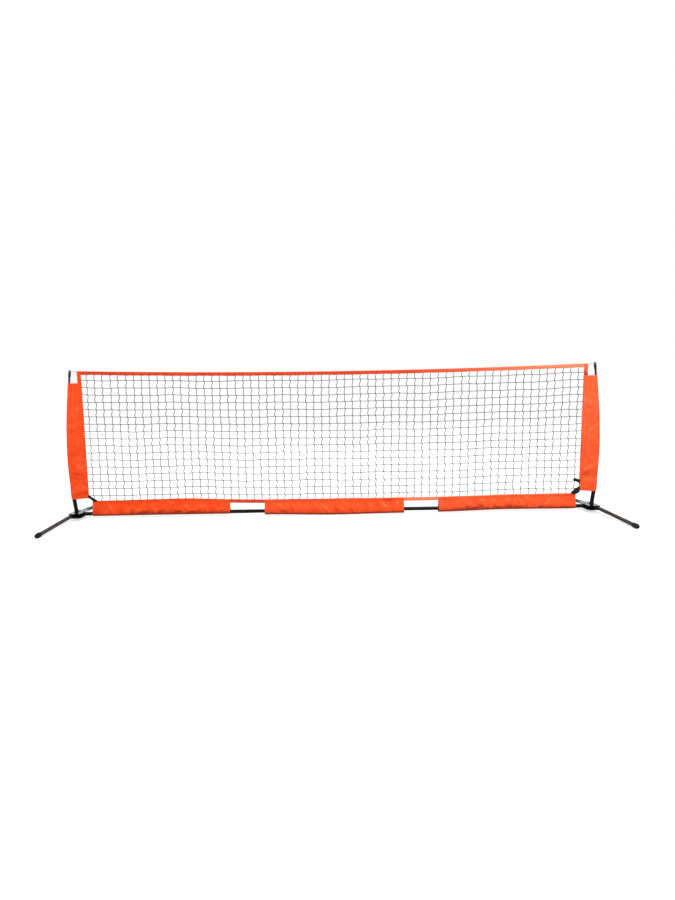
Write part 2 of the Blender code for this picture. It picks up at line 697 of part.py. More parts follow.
def make_ferrule(side):
    """Sleeve that fills the socket round the thin pole, with a collar on the socket's rim."""
    body = TUBE_BORE - FIT_GAP
    bore = POLE_RADIUS + FIT_GAP
    rim = SOCKET_LENGTH + FIT_GAP
    collar = TUBE_RADIUS - FERRULE_COLLAR_RIM
    profile = [(collar, rim + FERRULE_COLLAR), (collar, rim), (body, rim), (body, FERRULE_LIFT),
               (bore, FERRULE_LIFT), (bore, rim + FERRULE_COLLAR)]
    ferrule = turned(f"pole_ferrule_{side_name(side)}", profile, TUBE_SEGMENTS, ring=True)
    ferrule.location = (side * (LEG_LINE - POLE_SET_IN), 0.0, PLATE_TOP_Z)
    ferrule.rotation_euler = socket_turn(side)
    return finish(ferrule, BLACK, 0.5)


def make_pole(side):
    """Bowed rod from the bracket to the tip."""
    foot = PLATE_TOP_Z + FIT_GAP + POLE_RADIUS * POLE_LEAN
    pole = wire(f"pole_{side_name(side)}", pole_path(side, foot, POLE_TOP_Z), POLE_RADIUS, resolution=4)
    return finish(pole, BLACK, 0.4)


def make_pole_tip(side):
    """Cap on the pole's end, with a groove for the cord's loop under its disc."""
    bore = POLE_RADIUS + FIT_GAP
    groove_top = TIP_FLOOR + TIP_NECK
    top = groove_top + TIP_DISC
    chamfer = TIP_DISC / 4
    profile = [(0.0, top), (TIP_DISC_RADIUS - chamfer, top), (TIP_DISC_RADIUS, top - chamfer),
               (TIP_DISC_RADIUS, groove_top), (TIP_NECK_RADIUS, groove_top), (TIP_NECK_RADIUS, TIP_FLOOR),
               (TIP_RADIUS, TIP_FLOOR), (TIP_RADIUS, -TIP_SKIRT), (bore, -TIP_SKIRT),
               (bore, FIT_GAP), (0.0, FIT_GAP)]
    tip = turned(f"pole_tip_{side_name(side)}", profile, 16)
    tip.location, tip.rotation_euler = pole_tip_place(side)
    return finish(tip, BLACK, 0.45)


# ================================================================ cloth
def sleeve_bottom(x):
    """Lower edge of a side sleeve, higher at its inner corner."""
    share = (LEG_LINE - x) / (LEG_LINE - SLEEVE_INNER_X)
    return SLEEVE_BOTTOM_Z + SLEEVE_BOTTOM_RISE * share


def socket_cover_top():
    """Height up to which a side sleeve stays wide enough for the socket and the ferrule's collar."""
    return PLATE_TOP_Z + POLE_STRAIGHT + CLOTH


def sleeve_radius(z):
    """Radius of the side sleeve's round edge."""
    share = min(1.0, max(0.0, (z - socket_cover_top()) / SLEEVE_NECK))
    return SLEEVE_FOOT_RADIUS + (SLEEVE_RADIUS - SLEEVE_FOOT_RADIUS) * share


def side_sleeve_ring(side, height):
    """Outline of a side sleeve at a height: a round edge, and two cloths that taper to the seam."""
    centre = pole_x(height)
    radius = sleeve_radius(height)
    tangent = math.pi / 2 + math.asin((radius - SEAM_HALF) / (centre - SLEEVE_INNER_X))
    edge = arc((centre, 0.0), radius, tangent, -tangent, SLEEVE_ARC_POINTS)
    share = (height - SLEEVE_BOTTOM_Z) / (SLEEVE_TOP_Z - SLEEVE_BOTTOM_Z)
    swing = SIDE_FOLD * math.sin(math.tau * height / SIDE_FOLD_PITCH)
    cloth = []
    for part, shift in ((0.0, 0.0), (SIDE_FLAT, 0.0), ((1 + SIDE_FLAT) / 2, swing)):
        x = SLEEVE_INNER_X + (edge[0][0] - SLEEVE_INNER_X) * part
        half = SEAM_HALF + (edge[0][1] - SEAM_HALF) * part
        cloth.append((x, half, shift))
    flat = [(x, half + shift) for x, half, shift in cloth] + edge
    flat += [(x, shift - half) for x, half, shift in reversed(cloth)]
    ring = []
    for x, y in flat:
        z = sleeve_bottom(x) + (SLEEVE_TOP_Z - sleeve_bottom(x)) * share
        ring.append((side * x, y, z))
    return ring


def make_side_sleeve(side):
    """Orange sleeve on the pole, with a strip at its inner edge that climbs to the top band."""
    name = f"side_sleeve_{side_name(side)}"
    heights = [SLEEVE_BOTTOM_Z, socket_cover_top()]
    heights += spread(socket_cover_top() + SLEEVE_NECK, SLEEVE_TOP_Z, SLEEVE_SECTIONS)
    sleeve = loft(name, [side_sleeve_ring(side, height) for height in heights])
    ear_x = (side * SLEEVE_INNER_X, side * (SLEEVE_INNER_X + EAR_WIDTH))
    ear_top = band_top(SLEEVE_INNER_X) - BAND_HEIGHT - FIT_GAP
    low = (min(ear_x), -EAR_HALF, SLEEVE_TOP_Z - EAR_WIDTH)
    high = (max(ear_x), EAR_HALF, ear_top)
    boolean(sleeve, box_cutter(name + "_ear", low, high), "UNION")
    channel = wire(name + "_pole_channel", pole_path(side, PLATE_TOP_Z, POLE_TOP_Z),
                   POLE_RADIUS + FIT_GAP, resolution=4, coll=CUTTERS)
    boolean(sleeve, as_cutter(curve_to_mesh(channel)))
    foot = Vector((side * (LEG_LINE - POLE_SET_IN), 0.0, PLATE_TOP_Z))
    rise = Vector((side * POLE_LEAN, 0.0, 1.0)).normalized() * (POLE_STRAIGHT + FIT_GAP)
    boolean(sleeve, drill(name + "_socket_room", TUBE_RADIUS + FIT_GAP, foot, foot + rise, TUBE_SEGMENTS))
    return finish(sleeve, ORANGE, 0.7)


def folded_section(fold_z, mouth_z, inside):
    """Section of a tape folded over: (y, z) points, with the fold at one edge and the mouth at the other.

    `inside` is the inner radius of the fold. The two layers close in on each other at the mouth.
    """
    up = 1.0 if fold_z > mouth_z else -1.0
    outside = inside + BAND_LAYER
    centre = fold_z - up * outside
    mouth_outside = TAPE_HALF
    outer = [(y, centre + up * z) for y, z in arc((0.0, 0.0), outside, 0.0, math.pi, FOLD_POINTS)]
    inner = [(y, centre + up * z) for y, z in arc((0.0, 0.0), inside, math.pi, 0.0, FOLD_POINTS)]
    return ([(mouth_outside, mouth_z)] + outer + [(-mouth_outside, mouth_z), (-BAND_MOUTH_HALF, mouth_z)]
            + inner + [(BAND_MOUTH_HALF, mouth_z)])


def make_top_band():
    """Tape folded over the cord, open below for the net's edge."""
    rings = []
    for x in spread(-BAND_HALF_LENGTH, BAND_HALF_LENGTH, BAND_SECTIONS + 1):
        section = folded_section(band_top(x), band_top(x) - BAND_HEIGHT, CORD_RADIUS + FIT_GAP)
        rings.append([(x, y, z) for y, z in section])
    return finish(loft("top_band", rings), BAND_ORANGE, 0.7)


def make_bottom_tape():
    """Tape folded under the net's lower edge, open above."""
    rings = []
    for x in spread(-TAPE_HALF_LENGTH, TAPE_HALF_LENGTH, BAND_SECTIONS + 1):
        section = folded_section(tape_top(x) - TAPE_HEIGHT, tape_top(x), BAND_MOUTH_HALF)
        rings.append([(x, y, z) for y, z in section])
    return finish(loft("bottom_tape", rings), BAND_ORANGE, 0.7)


def cord_loop(side):
    """Ring of cord in the groove of a pole tip."""
    end, turn = pole_tip_place(side)
    profile = arc((LOOP_RADIUS, 0.0), CORD_RADIUS, math.pi / 2, math.pi / 2 - math.tau, 9)[:-1]
    ring = turned(f"cord_loop_{side_name(side)}", profile, 12, ring=True, coll=CUTTERS)
    axis = Vector((math.sin(turn[1]), 0.0, math.cos(turn[1])))
    ring.location = end + axis * (TIP_FLOOR + TIP_NECK / 2)
    ring.rotation_euler = turn
    return as_cutter(ring)


def make_top_cord():
    """Cord in the band's fold, ending in a loop round each pole tip."""
    loops = [cord_loop(side) for side in (-1, 1)]
    turn = pole_tip_place(1)[1][1]
    ends = [loop.location + Vector((-side * math.cos(turn), 0.0, math.sin(turn))) * LOOP_RADIUS
            for loop, side in zip(loops, (-1, 1))]
    places = spread(-BAND_HALF_LENGTH, BAND_HALF_LENGTH, CORD_POINTS)
    path = [Vector((x, 0.0, band_top(x) - BAND_CORD_DROP)) for x in places]
    cord = curve_to_mesh(wire("top_cord", [ends[0]] + path + [ends[1]], CORD_RADIUS))
    for loop in loops:
        boolean(cord, loop, "UNION")
    return finish(cord, CORD_GREY, 0.8)


def bottom_fold(x, y, z):
    """Sideways place of a point of a bottom sleeve, on cloth whose folds run aslant and stand out."""
    phase = (x + BOTTOM_FOLD_SLANT * (z - TUBE_AXIS_Z)) / BOTTOM_FOLD_PITCH
    if y > 0:
        phase += 0.5
    return y * (1 + BOTTOM_FOLD * math.sin(math.pi * phase) ** 2 / SLEEVE_FOOT_RADIUS)


def bottom_sleeve_ring(x):
    """Outline of a bottom sleeve at one place: round the tube, hanging slack, tapering to the tape."""
    slack = sagging(x, SLACK_END, SLACK_END - SLACK_MIDDLE, TAPE_HALF_LENGTH)
    seam = tape_top(x) - TAPE_HEIGHT - FIT_GAP
    radius = SLEEVE_FOOT_RADIUS
    tangent = math.asin((radius - SEAM_HALF) / (seam - TUBE_AXIS_Z))
    shoulder = arc((0.0, TUBE_AXIS_Z), radius, tangent, 0.0, 2)
    under = arc((0.0, TUBE_AXIS_Z - slack), radius, 0.0, -math.pi, 7)
    far = [(-y, z) for y, z in reversed(shoulder)]
    body = [(bottom_fold(x, y, z), z) for y, z in shoulder + under + far]
    return [(x, y, z) for y, z in [(SEAM_HALF, seam)] + body + [(-SEAM_HALF, seam)]]


def make_bottom_sleeve(name, start, end):
    """Cloth round the base tube between two places."""
    sleeve = loft(name, [bottom_sleeve_ring(x) for x in spread(start, end, BOTTOM_SECTIONS + 1)])
    low = (start - CUT_MARGIN, 0.0, TUBE_AXIS_Z)
    high = (end + CUT_MARGIN, 0.0, TUBE_AXIS_Z)
    boolean(sleeve, drill(name + "_tube_channel", TUBE_RADIUS + FIT_GAP, low, high, TUBE_SEGMENTS))
    return finish(sleeve, ORANGE, 0.7)


def net_height(x, share):
    """Height of a net row at a share of the net's height."""
    low = tape_top(x) - NET_TUCK
    high = band_top(x) - BAND_HEIGHT + NET_TUCK
    return low + (high - low) * share


def make_net():
    """Square net as one flat piece with a hole for each opening of the mesh."""
    half = SLEEVE_INNER_X - FIT_GAP
    columns = spread(-half, half, NET_COLUMNS + 1)
    shares = spread(0.0, 1.0, NET_ROWS + 1)
    rim = [(x, net_height(x, 0.0)) for x in columns] + [(x, net_height(x, 1.0)) for x in reversed(columns)]
    string = STRING_WIDTH / 2
    outlines = [rim]
    for left, right in zip(columns, columns[1:]):
        for low, high in zip(shares, shares[1:]):
            a, b = left + string, right - string
            outlines.append([(a, net_height(a, low) + string), (b, net_height(b, low) + string),
                             (b, net_height(b, high) - string), (a, net_height(a, high) - string)])
    net = flat_plate("net", outlines, STRING_THICKNESS)
    net.rotation_euler = (math.pi / 2, 0.0, 0.0)
    return finish(net, BLACK, 0.8)


def make_strap(name, start, end, width, behind):
    """Flat webbing between two (x, z) points, in front of something `behind` half a thickness deep."""
    strap = flat_plate(name, [ribbon_outline([start, end], width)], STRAP_THICKNESS)
    strap.rotation_euler = (math.pi / 2, 0.0, 0.0)
    strap.location = (0.0, -behind - FIT_GAP - STRAP_THICKNESS / 2, 0.0)
    return finish(strap, BLACK, 0.7)


def sleeve_half(x, z):
    """Half the thickness of a side sleeve beside its seam."""
    rise = (sleeve_radius(z) - SEAM_HALF) / (pole_x(z) - SLEEVE_INNER_X)
    return SEAM_HALF + (x - SLEEVE_INNER_X) * rise


def make_straps():
    """A strap across each lower corner of the net, and a loose end at the right side sleeve."""
    outer = SLEEVE_INNER_X + STRAP_LAP
    inner = SLEEVE_INNER_X - STRAP_FOOT_IN
    for side in (-1, 1):
        start, end = (side * outer, STRAP_TOP_Z), (side * inner, STRAP_FOOT_Z)
        behind = max(TAPE_HALF, sleeve_half(outer + STRAP_WIDTH / 2, STRAP_TOP_Z))
        make_strap(f"corner_strap_{side_name(side)}", start, end, STRAP_WIDTH, behind)
    loose = (SLEEVE_INNER_X - STRAP_END_RUN, STRAP_END_Z + STRAP_END_RISE)
    behind = sleeve_half(outer + STRAP_END_WIDTH / 2, STRAP_END_Z)
    make_strap("strap_end_right", (outer, STRAP_END_Z), loose, STRAP_END_WIDTH, behind)


# ================================================================ the whole net
def make_foot(side):
    """Bracket, rivets and legs at one end of the base tube."""
    make_bracket(side)
    for number in range(2):
        make_tube_rivet(side, number)
    for face in (-1, 1):
        make_pivot_rivet(side, face)
        make_leg(side, face)
        make_leg_cap(side, face)


def make_upright(side):
    """A pole with what holds it and what is on it."""
    make_socket(side)
    make_ferrule(side)
    make_pole(side)
    make_pole_tip(side)
    make_side_sleeve(side)


def make_joint(side):
    """Joint of the middle base tube with an outer one."""
    make_spigot(side)
    make_spigot_rivet(side)
    make_snap_button(side)
    make_button_spring(side)


def main():
    """Build every part."""
    make_middle_tube()
    for side in (-1, 1):
        make_outer_tube(side)
        make_joint(side)
        make_foot(side)
        make_upright(side)
    make_top_band()
    make_top_cord()
    make_net()
    make_bottom_tape()
    near, far = WINDOW_X - WINDOW_WIDTH / 2, WINDOW_X + WINDOW_WIDTH / 2
    make_bottom_sleeve("bottom_sleeve_left", -TAPE_HALF_LENGTH, -far)
    make_bottom_sleeve("bottom_sleeve_middle", -near, near)
    make_bottom_sleeve("bottom_sleeve_right", far, TAPE_HALF_LENGTH)
    make_straps()


main()
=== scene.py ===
"""Dress of the low portable net: cloth, mesh, cord, straps and finishes, with a studio round it.

Metres, +Z up. X runs along the net, the net hangs in the plane Y = 0, and the front is -Y.
"""
from __future__ import annotations

import logging
import math
from dataclasses import dataclass, field
from enum import Enum
from typing import Any, Callable

import bmesh
import bpy
import numpy as np
from mathutils import Matrix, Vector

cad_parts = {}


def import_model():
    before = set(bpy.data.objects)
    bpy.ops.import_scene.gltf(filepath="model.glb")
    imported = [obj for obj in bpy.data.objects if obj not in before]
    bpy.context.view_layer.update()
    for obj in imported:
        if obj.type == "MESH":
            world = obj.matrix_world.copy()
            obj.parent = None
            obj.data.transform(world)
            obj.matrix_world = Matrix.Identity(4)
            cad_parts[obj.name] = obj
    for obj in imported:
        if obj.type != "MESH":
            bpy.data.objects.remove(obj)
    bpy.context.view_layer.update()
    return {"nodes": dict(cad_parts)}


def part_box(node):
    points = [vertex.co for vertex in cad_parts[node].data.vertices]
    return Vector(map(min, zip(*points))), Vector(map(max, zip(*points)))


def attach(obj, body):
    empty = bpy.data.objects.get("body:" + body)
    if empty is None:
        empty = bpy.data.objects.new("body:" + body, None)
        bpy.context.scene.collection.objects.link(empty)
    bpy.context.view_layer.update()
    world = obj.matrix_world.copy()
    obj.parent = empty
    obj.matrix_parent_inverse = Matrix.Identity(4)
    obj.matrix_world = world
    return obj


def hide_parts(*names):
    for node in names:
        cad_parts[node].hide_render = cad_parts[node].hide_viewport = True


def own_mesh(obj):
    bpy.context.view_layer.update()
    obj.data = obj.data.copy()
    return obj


LOG = logging.getLogger("net_scene")
FRAME_BODY = "frame"
TAU = math.tau
Pair = tuple[float, float]
Triple = tuple[float, float, float]


class Labelled(Enum):
    """A choice that takes part in piece names."""

    @property
    def label(self) -> str:
        """The choice's own name, in small letters."""
        return self.name.lower()


class Side(Labelled):
    """An end of the net, as seen from the front."""

    LEFT = -1
    RIGHT = 1


class Face(Labelled):
    """The direction of a leg."""

    FRONT = -1
    REAR = 1


class Pattern(Enum):
    """How threads lie in a woven piece."""

    PLAIN = "plain weave"
    RIBBED = "ribbed webbing"
    BRAID = "braided cord"
    TWIST = "laid twine"


# ------------------------------------------------------------------------------------------------ meshes
def unit(vector: np.ndarray) -> np.ndarray:
    """Vectors along the last axis, scaled to length one."""
    return vector / np.linalg.norm(vector, axis=-1, keepdims=True)


def smooth_step(low: float, high: float, value: np.ndarray) -> np.ndarray:
    """Rise from 0 to 1 between two values, by 3t^2 - 2t^3."""
    t = np.clip((value - low) / (high - low), 0.0, 1.0)
    return t * t * (3.0 - 2.0 * t)


def stacked(*parts: Any) -> np.ndarray:
    """Arrays of fitting shapes, put together along a new last axis."""
    return np.stack(np.broadcast_arrays(*parts), axis=-1)


def summed(steps: np.ndarray) -> np.ndarray:
    """Distance of each point of a line from its first point, from the steps between them (last axis)."""
    return np.concatenate([np.zeros((*steps.shape[:-1], 1)), np.cumsum(steps, axis=-1)], axis=-1)


def waves(place: np.ndarray, *rows: Triple) -> np.ndarray:
    """Sum of sines along a line, each with its height, its pitch in metres and its phase."""
    return sum(height * np.sin(TAU * place / pitch + phase) for height, pitch, phase in rows)


def face_corners(count: int, rows: int, columns: int, spans: int) -> np.ndarray:
    """Numbers of the four corners of each face in count grids; after the last column comes the first."""
    low = (np.arange(count) * rows * columns)[:, None, None] + (np.arange(rows - 1) * columns)[None, :, None]
    column = np.arange(spans)[None, None, :]
    after = (column + 1) % columns
    return stacked(low + column, low + after, low + columns + after, low + columns + column).reshape(-1, 4)


def grid_object(name: str, points: np.ndarray, uv: np.ndarray | None = None,
                wrap: bool = False) -> bpy.types.Object:
    """Make a mesh of four-sided faces over a grid of points.

    Args:
        name: Name of the new object.
        points: Array (rows, columns, 3), or (count, rows, columns, 3) for several grids in one mesh.
        uv: Array like points with two numbers each, in metres. Where the grid wraps it has one column more.
        wrap: Whether the last column joins the first.

    Returns:
        The object, at the origin.
    """
    if points.ndim == 3:
        points = points[None]
        uv = None if uv is None else uv[None]
    count, rows, columns, _ = points.shape
    spans = columns if wrap else columns - 1
    quads = face_corners(count, rows, columns, spans)
    mesh = bpy.data.meshes.new(name)
    mesh.vertices.add(points.size // 3)
    mesh.vertices.foreach_set("co", points.astype(np.float32).ravel())
    mesh.loops.add(quads.size)
    mesh.loops.foreach_set("vertex_index", quads.astype(np.int32).ravel())
    mesh.polygons.add(len(quads))
    mesh.polygons.foreach_set("loop_start", np.arange(0, quads.size, 4, dtype=np.int32))
    mesh.update(calc_edges=True)
    if uv is not None:
        index = face_corners(count, rows, uv.shape[2], spans).ravel()
        layer = mesh.uv_layers.new(name="cloth")
        layer.data.foreach_set("uv", uv.reshape(-1, 2)[index].astype(np.float32).ravel())
    obj = bpy.data.objects.new(name, mesh)
    bpy.context.scene.collection.objects.link(obj)
    return obj


def close_up(obj: bpy.types.Object) -> bpy.types.Object:
    """Merge points that coincide and turn the faces outwards."""
    work = bmesh.new()
    work.from_mesh(obj.data)
    bmesh.ops.remove_doubles(work, verts=work.verts, dist=1e-6)
    bmesh.ops.dissolve_degenerate(work, edges=work.edges, dist=1e-7)
    bmesh.ops.recalc_face_normals(work, faces=work.faces)
    work.to_mesh(obj.data)
    work.free()
    return obj


def smoothed(obj: bpy.types.Object, angle: float = 40.0) -> bpy.types.Object:
    """Shade a mesh smooth, with sharp edges where faces meet at more than an angle in degrees."""
    obj.data.shade_smooth()
    obj.data.set_sharp_from_angle(angle=math.radians(angle))
    return obj


def turned(name: str, profile: list[Pair], foot: np.ndarray, axis: np.ndarray,
           sides: int = 40, bend: Callable[[np.ndarray], np.ndarray] | None = None) -> bpy.types.Object:
    """Turn a profile round an axis.

    A point at radius r, height h and angle a lies at foot + h axis + r (cos a e1 + sin a e2), where e1 and
    e2 are square to the axis.

    Args:
        name: Name of the new object.
        profile: (radius, height) pairs from one end on the axis, over the outside, to the other end.
        foot: Point at height 0.
        axis: Direction of the axis.
        sides: Number of points round.
        bend: Maps the finished points to others, for a flat or a ripple.

    Returns:
        The closed object.
    """
    axis = unit(np.asarray(axis, float))
    across = unit(np.cross(axis, (0.0, 1.0, 0.0) if abs(axis[1]) < 0.9 else (1.0, 0.0, 0.0)))
    other = np.cross(axis, across)
    shape = np.asarray(profile, float)
    angle = np.linspace(0.0, TAU, sides, endpoint=False)
    round_about = np.cos(angle)[:, None] * across + np.sin(angle)[:, None] * other
    points = np.asarray(foot, float) + shape[:, None, 1:] * axis + shape[:, None, :1] * round_about[None]
    if bend is not None:
        points = bend(points)
    run = summed(np.linalg.norm(np.diff(shape, axis=0), axis=1))
    turn = np.linspace(0.0, TAU, sides + 1) * shape[:, 0].max()
    return smoothed(close_up(grid_object(name, points, stacked(run[:, None], turn[None]), wrap=True)))


def tube_points(line: np.ndarray, radius: float, sides: int) -> np.ndarray:
    """Rings of points round lines that lie in the plane Y = 0 or close to it, drawn together at both ends.

    Each ring lies square to its line; its first axis is the line's direction crossed with Y.

    Args:
        line: Array (..., points, 3).
        radius: Radius of the rings.
        sides: Number of points in a ring.

    Returns:
        Array (..., points + 2, sides, 3).
    """
    ahead = unit(np.gradient(line, axis=-2))
    side = unit(np.cross(ahead, (0.0, 1.0, 0.0)))
    over = np.cross(ahead, side)
    angle = np.linspace(0.0, TAU, sides, endpoint=False)[:, None]
    middle = line[..., None, :]
    points = middle + radius * (np.cos(angle) * side[..., None, :] + np.sin(angle) * over[..., None, :])
    ends = np.broadcast_to(middle, points.shape)
    return np.concatenate([ends[..., :1, :, :], points, ends[..., -1:, :, :]], axis=-3)


def swept(name: str, path: np.ndarray, radius: float, sides: int = 12) -> bpy.types.Object:
    """Carry a circle along a path, as a closed object."""
    run = summed(np.linalg.norm(np.diff(path, axis=0), axis=1))
    run = np.concatenate([run[:1], run, run[-1:]])
    uv = stacked(run[:, None], np.linspace(0.0, 1.0, sides + 1)[None])
    return smoothed(close_up(grid_object(name, tube_points(path, radius, sides), uv, wrap=True)), 60.0)


def thickened(obj: bpy.types.Object, thickness: float) -> bpy.types.Object:
    """Give an open sheet its thickness, evenly to both sides."""
    solid = obj.modifiers.new("thickness", "SOLIDIFY")
    solid.thickness = thickness
    solid.offset = 0.0
    obj.data.shade_smooth()
    return obj


def noted(obj: bpy.types.Object, name: str, share: np.ndarray) -> bpy.types.Object:
    """Note a share from 0 to 1 on each point of a sheet, for the light and shade painted into its colour.

    One share is painted shade, deepest in folds, at seams and under the cloth. The other is painted light,
    paler where more light falls and on ridges.
    """
    layer = obj.data.attributes.new(name, "FLOAT", "POINT")
    layer.data.foreach_set("value", np.clip(share, 0.0, 1.0).astype(np.float32).ravel())
    return obj


# ------------------------------------------------------------------------------------------------ finishes
Colour = Triple
Socket = bpy.types.NodeSocket
WHITE = (1.0, 1.0, 1.0, 1.0)


class NodeSheet:
    """A tree of shader nodes being wired up."""

    def __init__(self, tree: bpy.types.NodeTree) -> None:
        """Start on a tree, with the coordinates at hand."""
        self.tree = tree
        self.place = self.add("ShaderNodeTexCoord")

    def feed(self, socket: Socket, value: Any) -> None:
        """Give a socket a value, or link another node's output to it."""
        if isinstance(value, Socket):
            self.tree.links.new(value, socket)
        else:
            socket.default_value = value

    def add(self, kind: str, inputs: dict[Any, Any] | None = None, **settings: Any) -> bpy.types.Node:
        """Add a node.

        Args:
            kind: Blender's name of the node type.
            inputs: Socket name or number to a value or to another node's output.
            settings: The node's own settings.

        Returns:
            The node.
        """
        node = self.tree.nodes.new(kind)
        for key, value in settings.items():
            setattr(node, key, value)
        for key, value in (inputs or {}).items():
            self.feed(node.inputs[key], value)
        return node

    def math(self, operation: str, first: Any, second: Any = 0.0) -> Socket:
        """Result of one step of arithmetic."""
        return self.add("ShaderNodeMath", {0: first, 1: second}, operation=operation).outputs[0]

    def sine(self, value: Any, factor: float) -> Socket:
        """Sine of a value times a factor."""
        return self.math("SINE", self.math("MULTIPLY", value, factor))

    def between(self, value: Any, low: Pair, high: Pair) -> Socket:
        """A value moved from one range to another, held at its ends."""
        return self.add("ShaderNodeMapRange", {"Value": value, "From Min": low[0], "From Max": low[1],
                                               "To Min": high[0], "To Max": high[1]}).outputs[0]


class ShaderSheet(NodeSheet):
    """A material with one Principled shader."""

    def __init__(self, name: str) -> None:
        """Start a node material."""
        self.material = bpy.data.materials.new(name)
        self.material.use_nodes = True
        super().__init__(self.material.node_tree)
        self.surface = self.tree.nodes["Principled BSDF"]

    def noise(self, scale: float, detail: float, stretch: tuple[float, ...] = (1, 1, 1)) -> Socket:
        """Soft cloudy pattern in the object's own space, as a value about 0.5."""
        mapped = self.add("ShaderNodeMapping", {0: self.place.outputs["Object"], "Scale": stretch})
        return self.add("ShaderNodeTexNoise", {"Vector": mapped.outputs[0], "Scale": scale,
                                               "Detail": detail}).outputs["Fac"]

    def mottle(self, broad: Any, small: Any, share: float) -> Socket:
        """A broad pattern, by its share, and a small one by the rest."""
        rest = self.math("MULTIPLY", small, 1.0 - share)
        return self.math("ADD", self.math("MULTIPLY", broad, share), rest)

    def blend(self, share: Any, first: Any, second: Any) -> Socket:
        """Colour between two colours."""
        return self.add("ShaderNodeMix", {0: share, 6: first, 7: second}, data_type="RGBA").outputs[2]

    def relief(self, height: Any, depth: float, strength: float, under: Any = None) -> Socket:
        """Surface relief from a height pattern, depth in metres."""
        inputs = {"Height": height, "Distance": depth, "Strength": strength}
        if under is not None:
            inputs["Normal"] = under
        return self.add("ShaderNodeBump", inputs).outputs[0]

    def set(self, **values: Any) -> None:
        """Set sockets of the Principled shader by their names with _ for a space."""
        for key, value in values.items():
            self.feed(self.surface.inputs[key.replace("_", " ")], value)


def rgba(colour: Colour, factor: float = 1.0) -> tuple[float, float, float, float]:
    """A colour with full opacity, made lighter or darker by a factor."""
    return (*(min(1.0, part * factor) for part in colour), 1.0)


@dataclass(frozen=True)
class Finish:
    """What a surface is made of."""

    name: str
    slot: str
    colour: Colour

    def material(self) -> bpy.types.Material:
        """Wire the material once and use it again after that."""
        known = bpy.data.materials.get(self.name)
        if known is None:
            sheet = ShaderSheet(self.name)
            self.wire(sheet)
            known = sheet.material
        return known

    def wire(self, sheet: ShaderSheet) -> None:
        """Add the finish's own nodes to a sheet."""
        raise NotImplementedError


@dataclass(frozen=True)
class HardFinish(Finish):
    """Paint, metal, plastic or rubber: one colour with cloudy wear and a fine grain."""

    roughness: float
    metallic: float = 0.0
    cloud: float = 0.25
    grain_scale: float = 900.0
    grain_depth: float = 0.00003
    coat: float = 0.0
    coat_roughness: float = 0.15
    specular: float = 0.5
    clouds: Pair = (14.0, 160.0)
    broad_share: float = 0.65

    def wire(self, sheet: ShaderSheet) -> None:
        """Colour and roughness follow the same clouds; the grain is a relief."""
        broad, small = self.clouds
        mixed = sheet.mottle(sheet.noise(broad, 4.0), sheet.noise(small, 5.0), self.broad_share)
        share = sheet.between(mixed, (0.35, 0.65), (0.0, 1.0))
        colour = sheet.blend(share, rgba(self.colour, 1.0 - self.cloud), rgba(self.colour, 1.0 + self.cloud))
        rough = sheet.between(mixed, (0.3, 0.7), (self.roughness * 0.85, min(1.0, self.roughness * 1.2)))
        grain = sheet.relief(sheet.noise(self.grain_scale, 2.0), self.grain_depth, 0.6)
        sheet.set(Base_Color=colour, Roughness=rough, Metallic=self.metallic, Normal=grain,
                  Coat_Weight=self.coat, Coat_Roughness=self.coat_roughness,
                  Specular_IOR_Level=self.specular)


